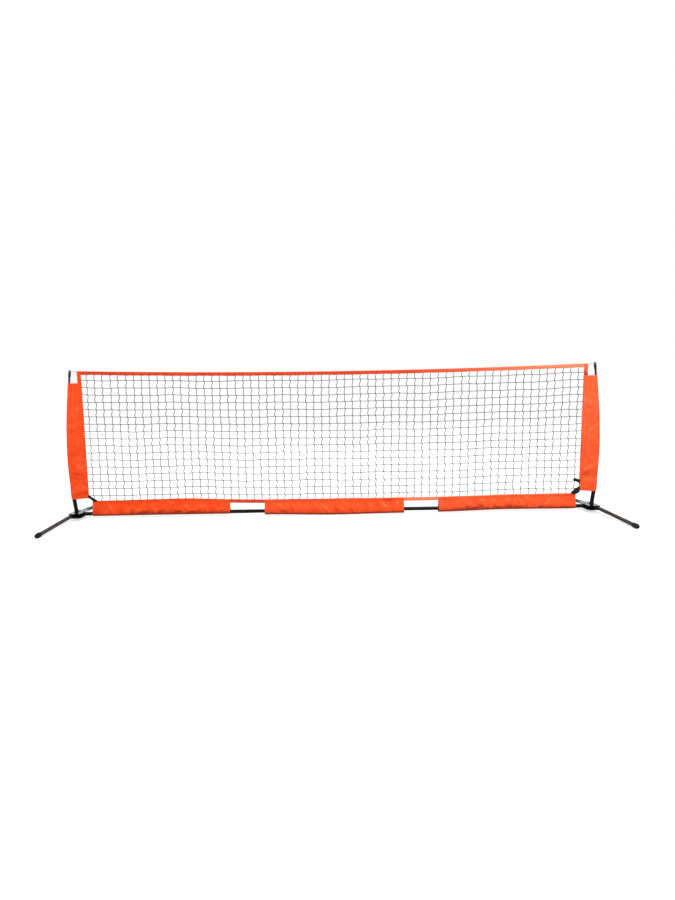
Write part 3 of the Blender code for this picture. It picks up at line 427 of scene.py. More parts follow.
@dataclass(frozen=True)
class ClothFinish(Finish):
    """A woven surface whose threads follow the piece's own map, in metres."""

    shade: Colour
    pattern: Pattern = Pattern.PLAIN
    thread: float = 0.0006
    depth: float = 0.00010
    crumple: float = 0.0
    roughness: float = 0.75
    sheen: float = 0.08
    specular: float = 0.2
    clouds: Pair = (9.0, 55.0)
    broad_share: float = 0.6
    crumple_scale: float = 38.0
    between_threads: float = 0.25
    stitch_row: float | None = None
    stitch_pitch: float = 0.0035
    stitch_colour: Colour = (0.60, 0.05, 0.01)
    # The next two are the colour of painted shade, in folds, at seams and under the cloth, and the pale,
    # pinkish colour of painted light.
    deep: Colour = (0.25, 0.020, 0.001)
    painted_light_tint: Colour = (1.0, 0.26, 0.12)

    def weave(self, sheet: ShaderSheet, along: Any, across: Any) -> Socket:
        """Height of the threads, from 0 to 1: sines along and across the piece, or aslant in a cord."""
        wave = TAU / self.thread
        if self.pattern is Pattern.PLAIN:
            product = sheet.math("MULTIPLY", sheet.sine(along, wave), sheet.sine(across, wave))
            return sheet.between(product, (-1.0, 1.0), (0.0, 1.0))
        if self.pattern is Pattern.RIBBED:
            total = sheet.math("ADD", sheet.sine(along, wave), sheet.sine(across, wave * 0.35))
            return sheet.between(total, (-2.0, 2.0), (0.0, 1.0))
        spin = sheet.math("MULTIPLY", across, TAU * (4.0 if self.pattern is Pattern.BRAID else 2.0))
        run = sheet.math("MULTIPLY", along, wave)
        strands = sheet.math("SINE", sheet.math("ADD", run, spin))
        if self.pattern is Pattern.BRAID:
            strands = sheet.math("MULTIPLY", strands, sheet.math("SINE", sheet.math("SUBTRACT", run, spin)))
        return sheet.between(strands, (-1.0, 1.0), (0.0, 1.0))

    def stitches(self, sheet: ShaderSheet, along: Any, across: Any) -> Socket:
        """Share of the surface that is sewing thread: dashes along a row at a set distance from the edge."""
        dash = sheet.between(sheet.sine(along, TAU / self.stitch_pitch), (-0.5, -0.1), (0.0, 1.0))
        off = sheet.math("ABSOLUTE", sheet.math("SUBTRACT", across, self.stitch_row))
        return sheet.math("MULTIPLY", sheet.between(off, (0.0003, 0.0007), (1.0, 0.0)), dash)

    def wire(self, sheet: ShaderSheet) -> None:
        """Mottled colour and threads, then painted light, painted shade in the folds, crumples and stitches
        over them.
        """
        split = sheet.add("ShaderNodeSeparateXYZ", {0: sheet.place.outputs["UV"]})
        along, across = split.outputs[0], split.outputs[1]
        broad = sheet.noise(self.clouds[0], 4.0, (1.0, 1.0, 1.6))
        small = sheet.noise(self.clouds[1], 3.0, (1.0, 1.0, 2.0))
        mixed = sheet.mottle(broad, small, self.broad_share)
        share = sheet.between(mixed, (0.36, 0.64), (0.0, 1.0))
        colour = sheet.blend(share, rgba(self.shade), rgba(self.colour))
        threads = self.weave(sheet, along, across)
        gaps = sheet.math("MULTIPLY", sheet.math("SUBTRACT", 1.0, threads), self.between_threads)
        colour = sheet.blend(gaps, colour, rgba(self.shade, 0.6))
        # Painted light makes the colour paler and painted shade makes it darker, each by its share on the
        # points.
        for attribute, tint in (("fade", self.painted_light_tint), ("fold", self.deep)):
            amount = sheet.add("ShaderNodeAttribute", attribute_name=attribute).outputs["Fac"]
            colour = sheet.blend(amount, colour, rgba(tint))
        normal = sheet.relief(threads, self.depth, 0.7)
        if self.crumple > 0.0:
            crumples = sheet.noise(self.crumple_scale, 4.0, (0.6, 1.0, 1.8))
            normal = sheet.relief(crumples, self.crumple, 0.8, normal)
        if self.stitch_row is not None:
            sewn = self.stitches(sheet, along, across)
            colour = sheet.blend(sewn, colour, rgba(self.stitch_colour))
            normal = sheet.relief(sewn, 0.0003, 0.8, normal)
        sheet.set(Base_Color=colour, Roughness=self.roughness, Normal=normal, Sheen_Weight=self.sheen,
                  Sheen_Roughness=0.5, Specular_IOR_Level=self.specular)


BLACK_PAINT = HardFinish("black_powder_coat", "black_steel", (0.0045, 0.0045, 0.0042), 0.40, specular=0.10)
BRACKET_PAINT = HardFinish("bracket_gloss_coat", "black_steel", (0.0045, 0.0045, 0.0042), 0.24, coat=0.6,
                           specular=0.30)
LEG_PAINT = HardFinish("leg_grey_paint", "leg_steel", (0.016, 0.0148, 0.012), 0.38, cloud=0.18,
                       specular=0.22)
ZINC = HardFinish("bright_zinc", "zinc_steel", (0.60, 0.60, 0.59), 0.32, metallic=1.0, cloud=0.12)
RUBBER = HardFinish("black_rubber", "rubber", (0.007, 0.007, 0.007), 0.75, grain_scale=500.0,
                    grain_depth=0.00008, specular=0.2)
PLASTIC = HardFinish("black_moulding", "black_plastic", (0.009, 0.009, 0.009), 0.50, grain_scale=700.0,
                     grain_depth=0.00005, specular=0.3)
ROD = HardFinish("black_rod", "pole_rod", (0.008, 0.008, 0.008), 0.36, specular=0.4)
ORANGE = (0.97, 0.080, 0.0045)
DEEP_ORANGE = (0.89, 0.052, 0.0020)
SIDE_CLOTH = ClothFinish("side_sleeve_cloth", "orange_cloth", ORANGE, DEEP_ORANGE, crumple=0.0012,
                         stitch_row=0.010)
BOTTOM_CLOTH = ClothFinish("bottom_sleeve_cloth", "orange_cloth", ORANGE, DEEP_ORANGE, crumple=0.0022,
                           stitch_row=0.005)
BAND_TAPE = ClothFinish("top_band_tape", "orange_tape", (0.74, 0.060, 0.008), (0.56, 0.034, 0.004),
                        crumple=0.0008, stitch_row=0.004)
FOOT_TAPE = ClothFinish("bottom_tape_cloth", "orange_tape", (0.72, 0.060, 0.010), (0.58, 0.040, 0.006),
                        crumple=0.0008, stitch_row=0.004)
TWINE = ClothFinish("black_twine", "black_twine", (0.010, 0.010, 0.010), (0.006, 0.006, 0.006),
                    pattern=Pattern.TWIST, thread=0.004, depth=0.0002, roughness=0.8, sheen=0.02)
GREY_CORD = ClothFinish("grey_braid", "grey_cord", (0.42, 0.42, 0.41), (0.30, 0.30, 0.30),
                        pattern=Pattern.BRAID, thread=0.006, depth=0.0003, roughness=0.8)
WEBBING = ClothFinish("black_webbing", "webbing", (0.010, 0.010, 0.010), (0.006, 0.006, 0.006),
                      pattern=Pattern.RIBBED, thread=0.0016, depth=0.0002, roughness=0.8, sheen=0.03)


def fit_out(obj: bpy.types.Object, finish: Finish, body: str = FRAME_BODY,
            stands_for: tuple[str, ...] = ()) -> bpy.types.Object:
    """Give a new piece its finish and its body, and hide the solids that it stands for.

    Args:
        obj: The piece.
        finish: What it is made of.
        body: The body that it moves with.
        stands_for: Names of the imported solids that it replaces.

    Returns:
        The piece.
    """
    obj.data.materials.clear()
    obj.data.materials.append(finish.material())
    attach(obj, body)
    if stands_for:
        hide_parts(*stands_for)
    LOG.info("%s: %d faces, rides on %s", obj.name, len(obj.data.polygons), body)
    return obj


# ------------------------------------------------------------------------------------------------ lines
@dataclass
class PoleLine:
    """Axis of a pole: straight in its socket, then bent like a rod that is pulled at its tip."""

    foot_x: float = 1.495
    foot_z: float = 0.04333
    lean: float = 0.120
    tip_in: float = 0.111
    straight: float = 0.1013
    top_z: float = 0.8412
    tip_straight: float = 0.030
    radius: float = 0.0055

    def bent(self, z: np.ndarray) -> np.ndarray:
        """Distance from the net's middle: lean h - tip_in s^2 (3 - s) / 2, s being the share of the rod."""
        rise = z - self.foot_z
        share = np.maximum(0.0, rise - self.straight) / (self.top_z - self.foot_z - self.straight)
        return self.foot_x + self.lean * rise - self.tip_in * share ** 2 * (3.0 - share) / 2.0

    def x_at(self, z: np.ndarray) -> np.ndarray:
        """The same, but straight again over the tip."""
        turn = self.top_z - self.tip_straight
        low = np.minimum(z, turn)
        slope = (self.bent(np.array(self.top_z)) - self.bent(np.array(turn))) / self.tip_straight
        return self.bent(low) + slope * (z - low)

    def lean_axis(self, side: Side) -> np.ndarray:
        """Direction of the socket."""
        return unit(np.array([side.value * self.lean, 0.0, 1.0]))

    def tip_axis(self, side: Side) -> np.ndarray:
        """Direction of the pole's upper end."""
        heights = np.array([self.top_z - self.tip_straight, self.top_z])
        ends = self.x_at(heights)
        return unit(np.array([side.value * (ends[1] - ends[0]), 0.0, heights[1] - heights[0]]))

    def end(self, side: Side) -> np.ndarray:
        """Upper end of the pole."""
        return np.array([side.value * float(self.x_at(np.array(self.top_z))), 0.0, self.top_z])


@dataclass
class Edges:
    """Hanging edges of the band and the tape: parabolas between their ends."""

    band_half: float = 1.437
    band_z: float = 0.848
    band_sag: float = 0.022
    band_height: float = 0.020
    tape_half: float = 1.398
    tape_z: float = 0.106
    tape_sag: float = 0.013
    tape_height: float = 0.020
    tape_swells: tuple[Triple, ...] = (
        (0.0125, -0.87, 0.29), (0.0040, 0.0, 0.55), (0.0045, 1.0, 0.28))

    def band_top(self, x: np.ndarray) -> np.ndarray:
        """Top edge of the top band."""
        return self.band_z - self.band_sag * (1.0 - (x / self.band_half) ** 2)

    def tape_top(self, x: np.ndarray) -> np.ndarray:
        """Top edge of the bottom tape, with the net's slack in it: swells of h exp(-((x - c) / w)^2)."""
        swells = sum(height * np.exp(-((x - place) / width) ** 2)
                     for height, place, width in self.tape_swells)
        return self.tape_z - self.tape_sag * (1.0 - (x / self.tape_half) ** 2) + swells


@dataclass(frozen=True)
class Tuck:
    """One crease at its own place: a ridge if its depth is above zero, a valley below."""

    along: float
    up: float
    slant: float
    length: float
    width: float
    depth: float

    def over(self, u: np.ndarray, v: np.ndarray) -> np.ndarray:
        """Its height at places (u, v): depth exp(-(across/width)^2 - (along/length)^2)."""
        angle = math.radians(self.slant)
        along = (u - self.along) * math.cos(angle) + (v - self.up) * math.sin(angle)
        across = (v - self.up) * math.cos(angle) - (u - self.along) * math.sin(angle)
        return self.depth * np.exp(-(across / self.width) ** 2 - (along / self.length) ** 2)


def tucks(*rows: tuple[float, ...]) -> tuple[Tuck, ...]:
    """Creases from rows of numbers, which are in the order of the fields of a Tuck."""
    return tuple(Tuck(*row) for row in rows)


@dataclass
class Creases:
    """Random soft creases over a flat piece: long ridges, each with its own slant, length and height."""

    seed: int
    count: int
    height: float
    width: float
    length: float
    slant: Pair
    span: Pair
    rise: Pair
    height_share: Pair = (0.4, 1.0)
    signs: Pair = (-0.7, 1.0)
    size_share: Pair = (0.6, 1.4)

    def over(self, u: np.ndarray, v: np.ndarray) -> np.ndarray:
        """Height of the creases at places (u, v), in metres.

        Each is a tuck within span and rise. Its height, width and length are random shares of the set ones.
        """
        draw = np.random.RandomState(self.seed)
        total = np.zeros(np.broadcast(u, v).shape)
        for _ in range(self.count):
            along, up = draw.uniform(*self.span), draw.uniform(*self.rise)
            slant = draw.uniform(*self.slant)
            depth = self.height * draw.uniform(*self.height_share) * draw.choice(self.signs)
            width, length = (size * draw.uniform(*self.size_share) for size in (self.width, self.length))
            total += Tuck(along, up, slant, length, width, depth).over(u, v)
        return total


LEFT_TUCKS = tucks(
    (0.085, 0.045, -45, 0.024, 0.008, -0.4), (0.030, 0.035, 80, 0.033, 0.025, -0.3),
    (0.165, 0.035, 80, 0.027, 0.012, -0.3), (0.225, 0.020, 60, 0.018, 0.014, -0.45),
    (0.300, 0.014, 8, 0.040, 0.010, -0.8), (0.325, 0.045, -30, 0.020, 0.012, -0.4),
    (0.395, 0.018, 25, 0.034, 0.010, -0.65), (0.460, 0.045, 85, 0.024, 0.009, -0.3),
    (0.492, 0.015, 0, 0.030, 0.010, -0.8), (0.590, 0.013, -5, 0.038, 0.009, -0.75),
    (0.685, 0.010, -10, 0.034, 0.009, -0.7), (0.760, 0.012, 0, 0.024, 0.009, -0.65),
    (0.105, 0.050, -50, 0.018, 0.006, 0.5), (0.205, 0.030, 80, 0.020, 0.006, 0.4),
    (0.355, 0.040, -40, 0.020, 0.006, 0.6), (0.455, 0.075, 0, 0.012, 0.008, 0.9),
    (0.545, 0.045, -60, 0.022, 0.007, 0.6), (0.640, 0.050, 20, 0.018, 0.008, 0.6),
    (0.665, 0.020, -50, 0.016, 0.005, 0.6))
MIDDLE_TUCKS = tucks(
    (0.694, 0.050, -48, 0.034, 0.0055, 1.3), (0.615, 0.052, -50, 0.024, 0.006, 0.8),
    (0.547, 0.050, -60, 0.024, 0.005, 0.7), (0.514, 0.035, -78, 0.022, 0.004, 0.7),
    (0.343, 0.050, -45, 0.028, 0.006, 0.6), (0.300, 0.060, -60, 0.018, 0.005, 0.5),
    (0.238, 0.047, -60, 0.020, 0.006, 0.5), (0.200, 0.060, -60, 0.016, 0.005, 0.5),
    (0.089, 0.048, -42, 0.024, 0.006, 0.6), (0.770, 0.060, 80, 0.016, 0.008, 0.8),
    (0.505, 0.040, -80, 0.020, 0.003, -0.6), (0.655, 0.045, -50, 0.020, 0.007, -0.6),
    (0.590, 0.050, -55, 0.020, 0.006, -0.5), (0.740, 0.045, -50, 0.022, 0.006, -0.5),
    (0.110, 0.022, -10, 0.030, 0.008, -0.6), (0.160, 0.035, -30, 0.020, 0.008, -0.4),
    (0.290, 0.035, -50, 0.020, 0.006, -0.4), (0.410, 0.035, -60, 0.020, 0.006, -0.4),
    (0.720, 0.078, 0, 0.035, 0.005, -0.7))
RIGHT_TUCKS = tucks(
    (0.085, 0.016, 10, 0.022, 0.008, -0.5), (0.160, 0.018, 60, 0.016, 0.010, -0.8),
    (0.200, 0.016, 0, 0.018, 0.009, -0.7), (0.245, 0.024, -35, 0.026, 0.010, -0.7),
    (0.327, 0.018, 75, 0.014, 0.008, -0.8), (0.395, 0.018, 10, 0.028, 0.009, -0.8),
    (0.465, 0.013, 0, 0.030, 0.008, -0.8), (0.511, 0.028, 85, 0.020, 0.007, -0.35),
    (0.592, 0.015, 15, 0.018, 0.008, -0.8), (0.700, 0.007, 0, 0.077, 0.0075, -0.8),
    (0.020, 0.055, -80, 0.025, 0.006, 0.7), (0.150, 0.070, 0, 0.022, 0.007, 0.8),
    (0.175, 0.048, 10, 0.014, 0.006, 0.6), (0.250, 0.062, -10, 0.022, 0.008, 0.8),
    (0.318, 0.060, 0, 0.016, 0.008, 0.6), (0.400, 0.058, 5, 0.016, 0.008, 1.0),
    (0.443, 0.050, -75, 0.024, 0.005, 0.9), (0.475, 0.050, -65, 0.026, 0.005, 0.9),
    (0.513, 0.065, -40, 0.016, 0.006, 1.3), (0.640, 0.050, 40, 0.028, 0.007, 0.8),
    (0.690, 0.062, 0, 0.020, 0.006, 0.5))


@dataclass(frozen=True)
class SideLook:
    """What differs between the cloths of the two side sleeves."""

    seed: int
    # Share of painted light, paler towards the top, for the side where more light falls.
    fade: float
    # Share of painted shade on the outer edge round the pole.
    edge_shade: float
    strip_tuck: float
    # Share of painted shade at the strip's foot, where it tucks into the sleeve.
    strip_shade: float
    placed: tuple[Tuck, ...]


SIDE_LOOKS = {
    Side.LEFT: SideLook(
        seed=23, fade=0.0, edge_shade=0.05, strip_tuck=0.0012, strip_shade=0.20, placed=tucks(
            (0.070, 0.260, 0, 0.030, 0.020, -0.35), (0.015, 0.150, 0, 0.012, 0.012, -0.8),
            (0.020, 0.210, 60, 0.030, 0.008, -0.5), (0.045, 0.310, 20, 0.025, 0.010, 0.5),
            (0.050, 0.175, 10, 0.030, 0.008, 0.5), (0.040, 0.640, 85, 0.060, 0.012, 0.3))),
    Side.RIGHT: SideLook(
        seed=11, fade=0.20, edge_shade=0.20, strip_tuck=0.0035, strip_shade=0.85, placed=tucks(
            (0.050, 0.230, 30, 0.055, 0.014, -0.4), (0.060, 0.262, 30, 0.040, 0.010, 0.6),
            (0.012, 0.470, 90, 0.022, 0.009, 0.9), (0.015, 0.640, 90, 0.022, 0.009, 0.7),
            (0.030, 0.735, 70, 0.030, 0.014, -0.4), (0.008, 0.366, 90, 0.022, 0.010, -0.6),
            (0.035, 0.190, 10, 0.025, 0.010, 0.5), (0.060, 0.560, 60, 0.030, 0.010, -0.3)))}


# ------------------------------------------------------------------------------------------------ frame
@dataclass
class BaseFrame:
    """Base tubes, legs and caps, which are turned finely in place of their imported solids."""

    tube_radius: float = 0.0105
    wall: float = 0.0012
    axis_z: float = 0.030
    joint_x: float = 0.500
    seam_gap: float = 0.00015
    tube_end: float = 1.490
    leg_line: float = 1.5
    leg_radius: float = 0.0102
    pivot_y: float = 0.045
    stub: float = 0.0075
    reach: float = 0.390
    cap_radius: float = 0.0130
    cap_flat: float = 0.0006
    cap_skirt: float = 0.018
    cap_gap: float = 0.0003
    cap_grooves: Pair = (0.0060, 0.0105)
    groove_depth: float = 0.0005
    groove_mouth: float = 0.0009
    groove_floor: float = 0.0004
    end_gap: float = 0.004
    bevel: float = 0.0004

    def tube_profile(self, radius: float, low: float, high: float) -> list[Pair]:
        """Outline of a tube with slightly broken edges, closed on itself."""
        inner, edge = radius - self.wall, self.bevel
        return [(inner, low), (radius - edge, low), (radius, low + edge), (radius, high - edge),
                (radius - edge, high), (inner, high), (inner, low)]

    def base_tubes(self) -> None:
        """Three tubes end to end along X."""
        spans = {"left": (-self.tube_end, -self.joint_x - self.seam_gap),
                 "middle": (-self.joint_x + self.seam_gap, self.joint_x - self.seam_gap),
                 "right": (self.joint_x + self.seam_gap, self.tube_end)}
        for label, (low, high) in spans.items():
            tube = turned(f"base_tube_{label}_fine", self.tube_profile(self.tube_radius, low, high),
                          np.array([0.0, 0.0, self.axis_z]), np.array([1.0, 0.0, 0.0]), 48)
            fit_out(tube, BLACK_PAINT, stands_for=(f"base_tube_{label}",))

    def leg(self, side: Side, face: Face) -> None:
        """A leg's tube and its rubber cap, on the leg's own body."""
        label = f"{face.label}_{side.label}"
        body = f"leg_{label}_body"
        centre_z = self.cap_radius - self.cap_flat
        pivot = np.array([side.value * self.leg_line, face.value * self.pivot_y, self.axis_z])
        end = np.array([side.value * self.leg_line, face.value * self.reach, centre_z])
        axis = unit(end - pivot)
        length = float(np.linalg.norm(end - pivot))
        profile = self.tube_profile(self.leg_radius, -self.stub, length - self.end_gap)
        fit_out(turned(f"leg_{label}_fine", profile, pivot, axis, 48), LEG_PAINT, body, (f"leg_{label}",))
        cap = turned(f"leg_cap_{label}_fine", self.cap_profile(length), pivot, axis, 64, self.stand_flat)
        fit_out(cap, RUBBER, body, (f"leg_cap_{label}",))

    def cap_profile(self, length: float) -> list[Pair]:
        """Outline of a cap: a ball end, two shallow grooves, a rolled mouth and the bore."""
        r, skirt = self.cap_radius, length - self.end_gap - self.cap_skirt
        ball = [(r * math.cos(a), length + r * math.sin(a)) for a in np.linspace(math.pi / 2, 0.0, 14)]
        ball[0] = (0.0, length + r)
        rings: list[Pair] = []
        for centre in (length - place for place in self.cap_grooves):
            rings += [(r, centre + self.groove_mouth), (r - self.groove_depth, centre + self.groove_floor),
                      (r - self.groove_depth, centre - self.groove_floor), (r, centre - self.groove_mouth)]
        mouth = [(r, skirt + 0.0020), (r - 0.0003, skirt + 0.0008), (r - 0.0010, skirt + 0.0001)]
        bore, floor = self.leg_radius + self.cap_gap, length - self.end_gap + self.cap_gap
        return ball + rings + mouth + [(bore, skirt), (bore, floor), (0.0, floor)]

    @staticmethod
    def stand_flat(points: np.ndarray) -> np.ndarray:
        """Flatten whatever reaches below the ground."""
        points[..., 2] = np.maximum(points[..., 2], 0.0)
        return points

    def build(self) -> None:
        """Make the tubes, the legs and their caps."""
        self.base_tubes()
        for side in Side:
            for face in Face:
                self.leg(side, face)


@dataclass
class Dresser:
    """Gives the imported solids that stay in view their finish."""

    nodes: dict[str, bpy.types.Object]
    kinds: dict[str, HardFinish] = field(default_factory=lambda: {
        "foot_bracket": BRACKET_PAINT, "spigot": ZINC, "spigot_rivet": BLACK_PAINT, "snap_button": ZINC,
        "tube_rivet": BLACK_PAINT, "pivot_rivet": ZINC})

    def build(self) -> None:
        """Put a finish on each node whose name starts with a known kind; the last kind that fits holds."""
        for name, node in self.nodes.items():
            for kind, finish in self.kinds.items():
                if name.startswith(kind):
                    for place in node.material_slots:
                        place.material = finish.material()
                    LOG.info("%s dressed in %s", name, finish.name)


@dataclass
class SnapSpring:
    """Leaf spring bent as a V inside the spigot, which flattens as its button goes in."""

    side: Side
    tip: float = 0.003
    reach: float = 0.040
    width: float = 0.006
    thickness: float = 0.0006
    edge: float = 0.00015
    travel: float = 0.0038

    def build(self) -> None:
        """Carry a flat section along the leaf: under the flange, aslant to the bend, round it and back.

        The bend is half a circle a third as wide as the spring is deep. Its depth comes from the frame.
        """
        name = f"button_spring_{self.side.label}"
        low, high = (np.array(corner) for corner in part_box(name))
        front, rear = low[1] + self.thickness / 2, high[1] - self.thickness / 2
        bend = (rear - front) / 6.0
        middle = np.array([high[0] - self.tip, (low[2] + high[2]) / 2])
        angle = np.linspace(math.pi / 2, 3 * math.pi / 2, 17)
        turn = stacked(bend - self.reach + bend * np.cos(angle), front + bend + bend * np.sin(angle))
        path = np.vstack([[(self.tip, rear), (-self.tip, rear)], turn, [(self.tip, front)]])
        ahead = unit(np.gradient(path, axis=0))
        across = stacked(-ahead[:, 1], ahead[:, 0])
        flat, high_side = self.width / 2, self.thickness / 2
        section = np.array([(-flat + self.edge, -high_side), (flat - self.edge, -high_side),
                            (flat, -high_side + self.edge), (flat, high_side - self.edge),
                            (flat - self.edge, high_side), (-flat + self.edge, high_side),
                            (-flat, high_side - self.edge), (-flat, -high_side + self.edge)])
        plane = path[:, None] + across[:, None] * section[None, :, 1:]
        points = stacked(middle[0] + plane[..., 0], plane[..., 1], middle[1] + section[:, 0])
        caps = np.broadcast_to(points.mean(axis=1, keepdims=True), points.shape)
        points = np.concatenate([caps[:1], points, caps[-1:]])
        leaf = smoothed(close_up(grid_object(f"{name}_fine", points, wrap=True)))
        fit_out(leaf, ZINC, stands_for=(name,))
        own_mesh(leaf)


@dataclass
class Upright:
    """One pole with its welded socket, ferrule and tip."""

    side: Side
    line: PoleLine
    tube_radius: float = 0.0105
    wall: float = 0.0012
    bevel: float = 0.0004
    socket_length: float = 0.098
    socket_low: float = -0.002
    weld: tuple[Pair, ...] = (
        (0.0030, -0.002), (0.0030, 0.0002), (0.0024, 0.0013), (0.0012, 0.0024), (0.0, 0.0031))
    weld_swell: float = 0.035
    weld_beads: float = 26.0
    plate_z: float = 0.04333
    gap: float = 0.0003
    rod_gap: float = 0.0008
    plug_low: float = 0.004
    collar: float = 0.003
    collar_edge: float = 0.001
    tip_radius: float = 0.0069
    tip_skirt: float = 0.025
    tip_edge: float = 0.0006
    groove: Pair = (0.0014, 0.0069)
    neck: float = 0.0050
    disc: float = 0.0076
    disc_height: float = 0.0050

    def foot(self) -> np.ndarray:
        """Middle of the socket's foot."""
        return np.array([self.side.value * self.line.foot_x, 0.0, self.plate_z])

    def fit(self, kind: str, finish: Finish, make: Callable[..., bpy.types.Object], *shape: Any) -> None:
        """Make a piece and fit it out in place of its solid.

        Args:
            kind: Start of the solid's name.
            finish: What the piece is made of.
            make: Function that makes it, whose first argument is its name.
            shape: The other arguments of make.
        """
        solid = f"{kind}_{self.side.label}"
        fit_out(make(f"{solid}_fine", *shape), finish, stands_for=(solid,))

    def rippled(self, points: np.ndarray) -> np.ndarray:
        """Swell the weld's rings by a sine round the tube, then level what would reach into the plate."""
        foot, axis = self.foot(), self.line.lean_axis(self.side)
        angle = np.linspace(0.0, TAU, points.shape[1], endpoint=False)
        swell = 1.0 + self.weld_swell * np.sin(self.weld_beads * angle)
        rings = slice(2, len(self.weld))
        heights = (points[rings] - foot) @ axis
        middle = foot + heights[..., None] * axis
        points[rings] = middle + (points[rings] - middle) * swell[None, :, None]
        points[..., 2] = np.maximum(points[..., 2], self.plate_z + self.gap)
        return points

    def socket(self) -> None:
        """Tube on the bracket with a rippled weld round its foot."""
        r, inner, edge = self.tube_radius, self.tube_radius - self.wall, self.bevel
        low, top = self.socket_low, self.socket_length
        weld = [(r + out, up) for out, up in self.weld]
        profile = [(inner, low), *weld, (r, top - edge), (r - edge, top), (inner, top), (inner, low)]
        axis = self.line.lean_axis(self.side)
        self.fit("pole_socket", BLACK_PAINT, turned, profile, self.foot(), axis, 104, self.rippled)

    def ferrule(self) -> None:
        """Plug round the rod with a collar on the socket's rim."""
        body, bore = self.tube_radius - self.wall - self.gap, self.line.radius + self.gap
        low, rim, edge = self.plug_low, self.socket_length + self.gap, self.collar_edge
        wide, top = self.tube_radius - edge, rim + self.collar
        profile = [(bore, low), (body, low), (body, rim), (wide, rim), (wide, top - edge),
                   (wide - edge, top), (bore, top), (bore, low)]
        self.fit("pole_ferrule", PLASTIC, turned, profile, self.foot(), self.line.lean_axis(self.side), 48)

    def pole(self) -> None:
        """Bowed rod, as a circle carried along the pole's line."""
        bowed = np.linspace(self.plate_z + self.line.straight, self.line.top_z, 90)
        z = np.concatenate([[self.plate_z + self.rod_gap], bowed])
        path = stacked(self.side.value * self.line.x_at(z), 0.0, z)
        self.fit("pole", ROD, swept, path, self.line.radius, 32)

    def tip(self) -> None:
        """Moulded cap with a groove for the cord's loop under its disc."""
        bore, (floor, ceiling) = self.line.radius + self.gap, self.groove
        edge, low, top = self.tip_edge, -self.tip_skirt, ceiling + self.disc_height
        disc, neck, r = self.disc, self.neck, self.tip_radius
        profile = [(0.0, top), (disc - 0.0022, top), (disc - 0.0008, top - 0.0005), (disc, top - 0.0016),
                   (disc, ceiling + edge), (disc - edge, ceiling), (neck + edge, ceiling),
                   (neck, ceiling - edge), (neck, floor + edge), (neck + edge, floor), (r - edge, floor),
                   (r, floor - edge), (r, low + edge), (r - edge, low), (bore, low), (bore, self.gap),
                   (0.0, self.gap)]
        end, axis = self.line.end(self.side), self.line.tip_axis(self.side)
        self.fit("pole_tip", PLASTIC, turned, profile, end, axis, 48)

    def build(self) -> None:
        """Make the upright's pieces."""
        self.socket()
        self.ferrule()
        self.pole()
        self.tip()


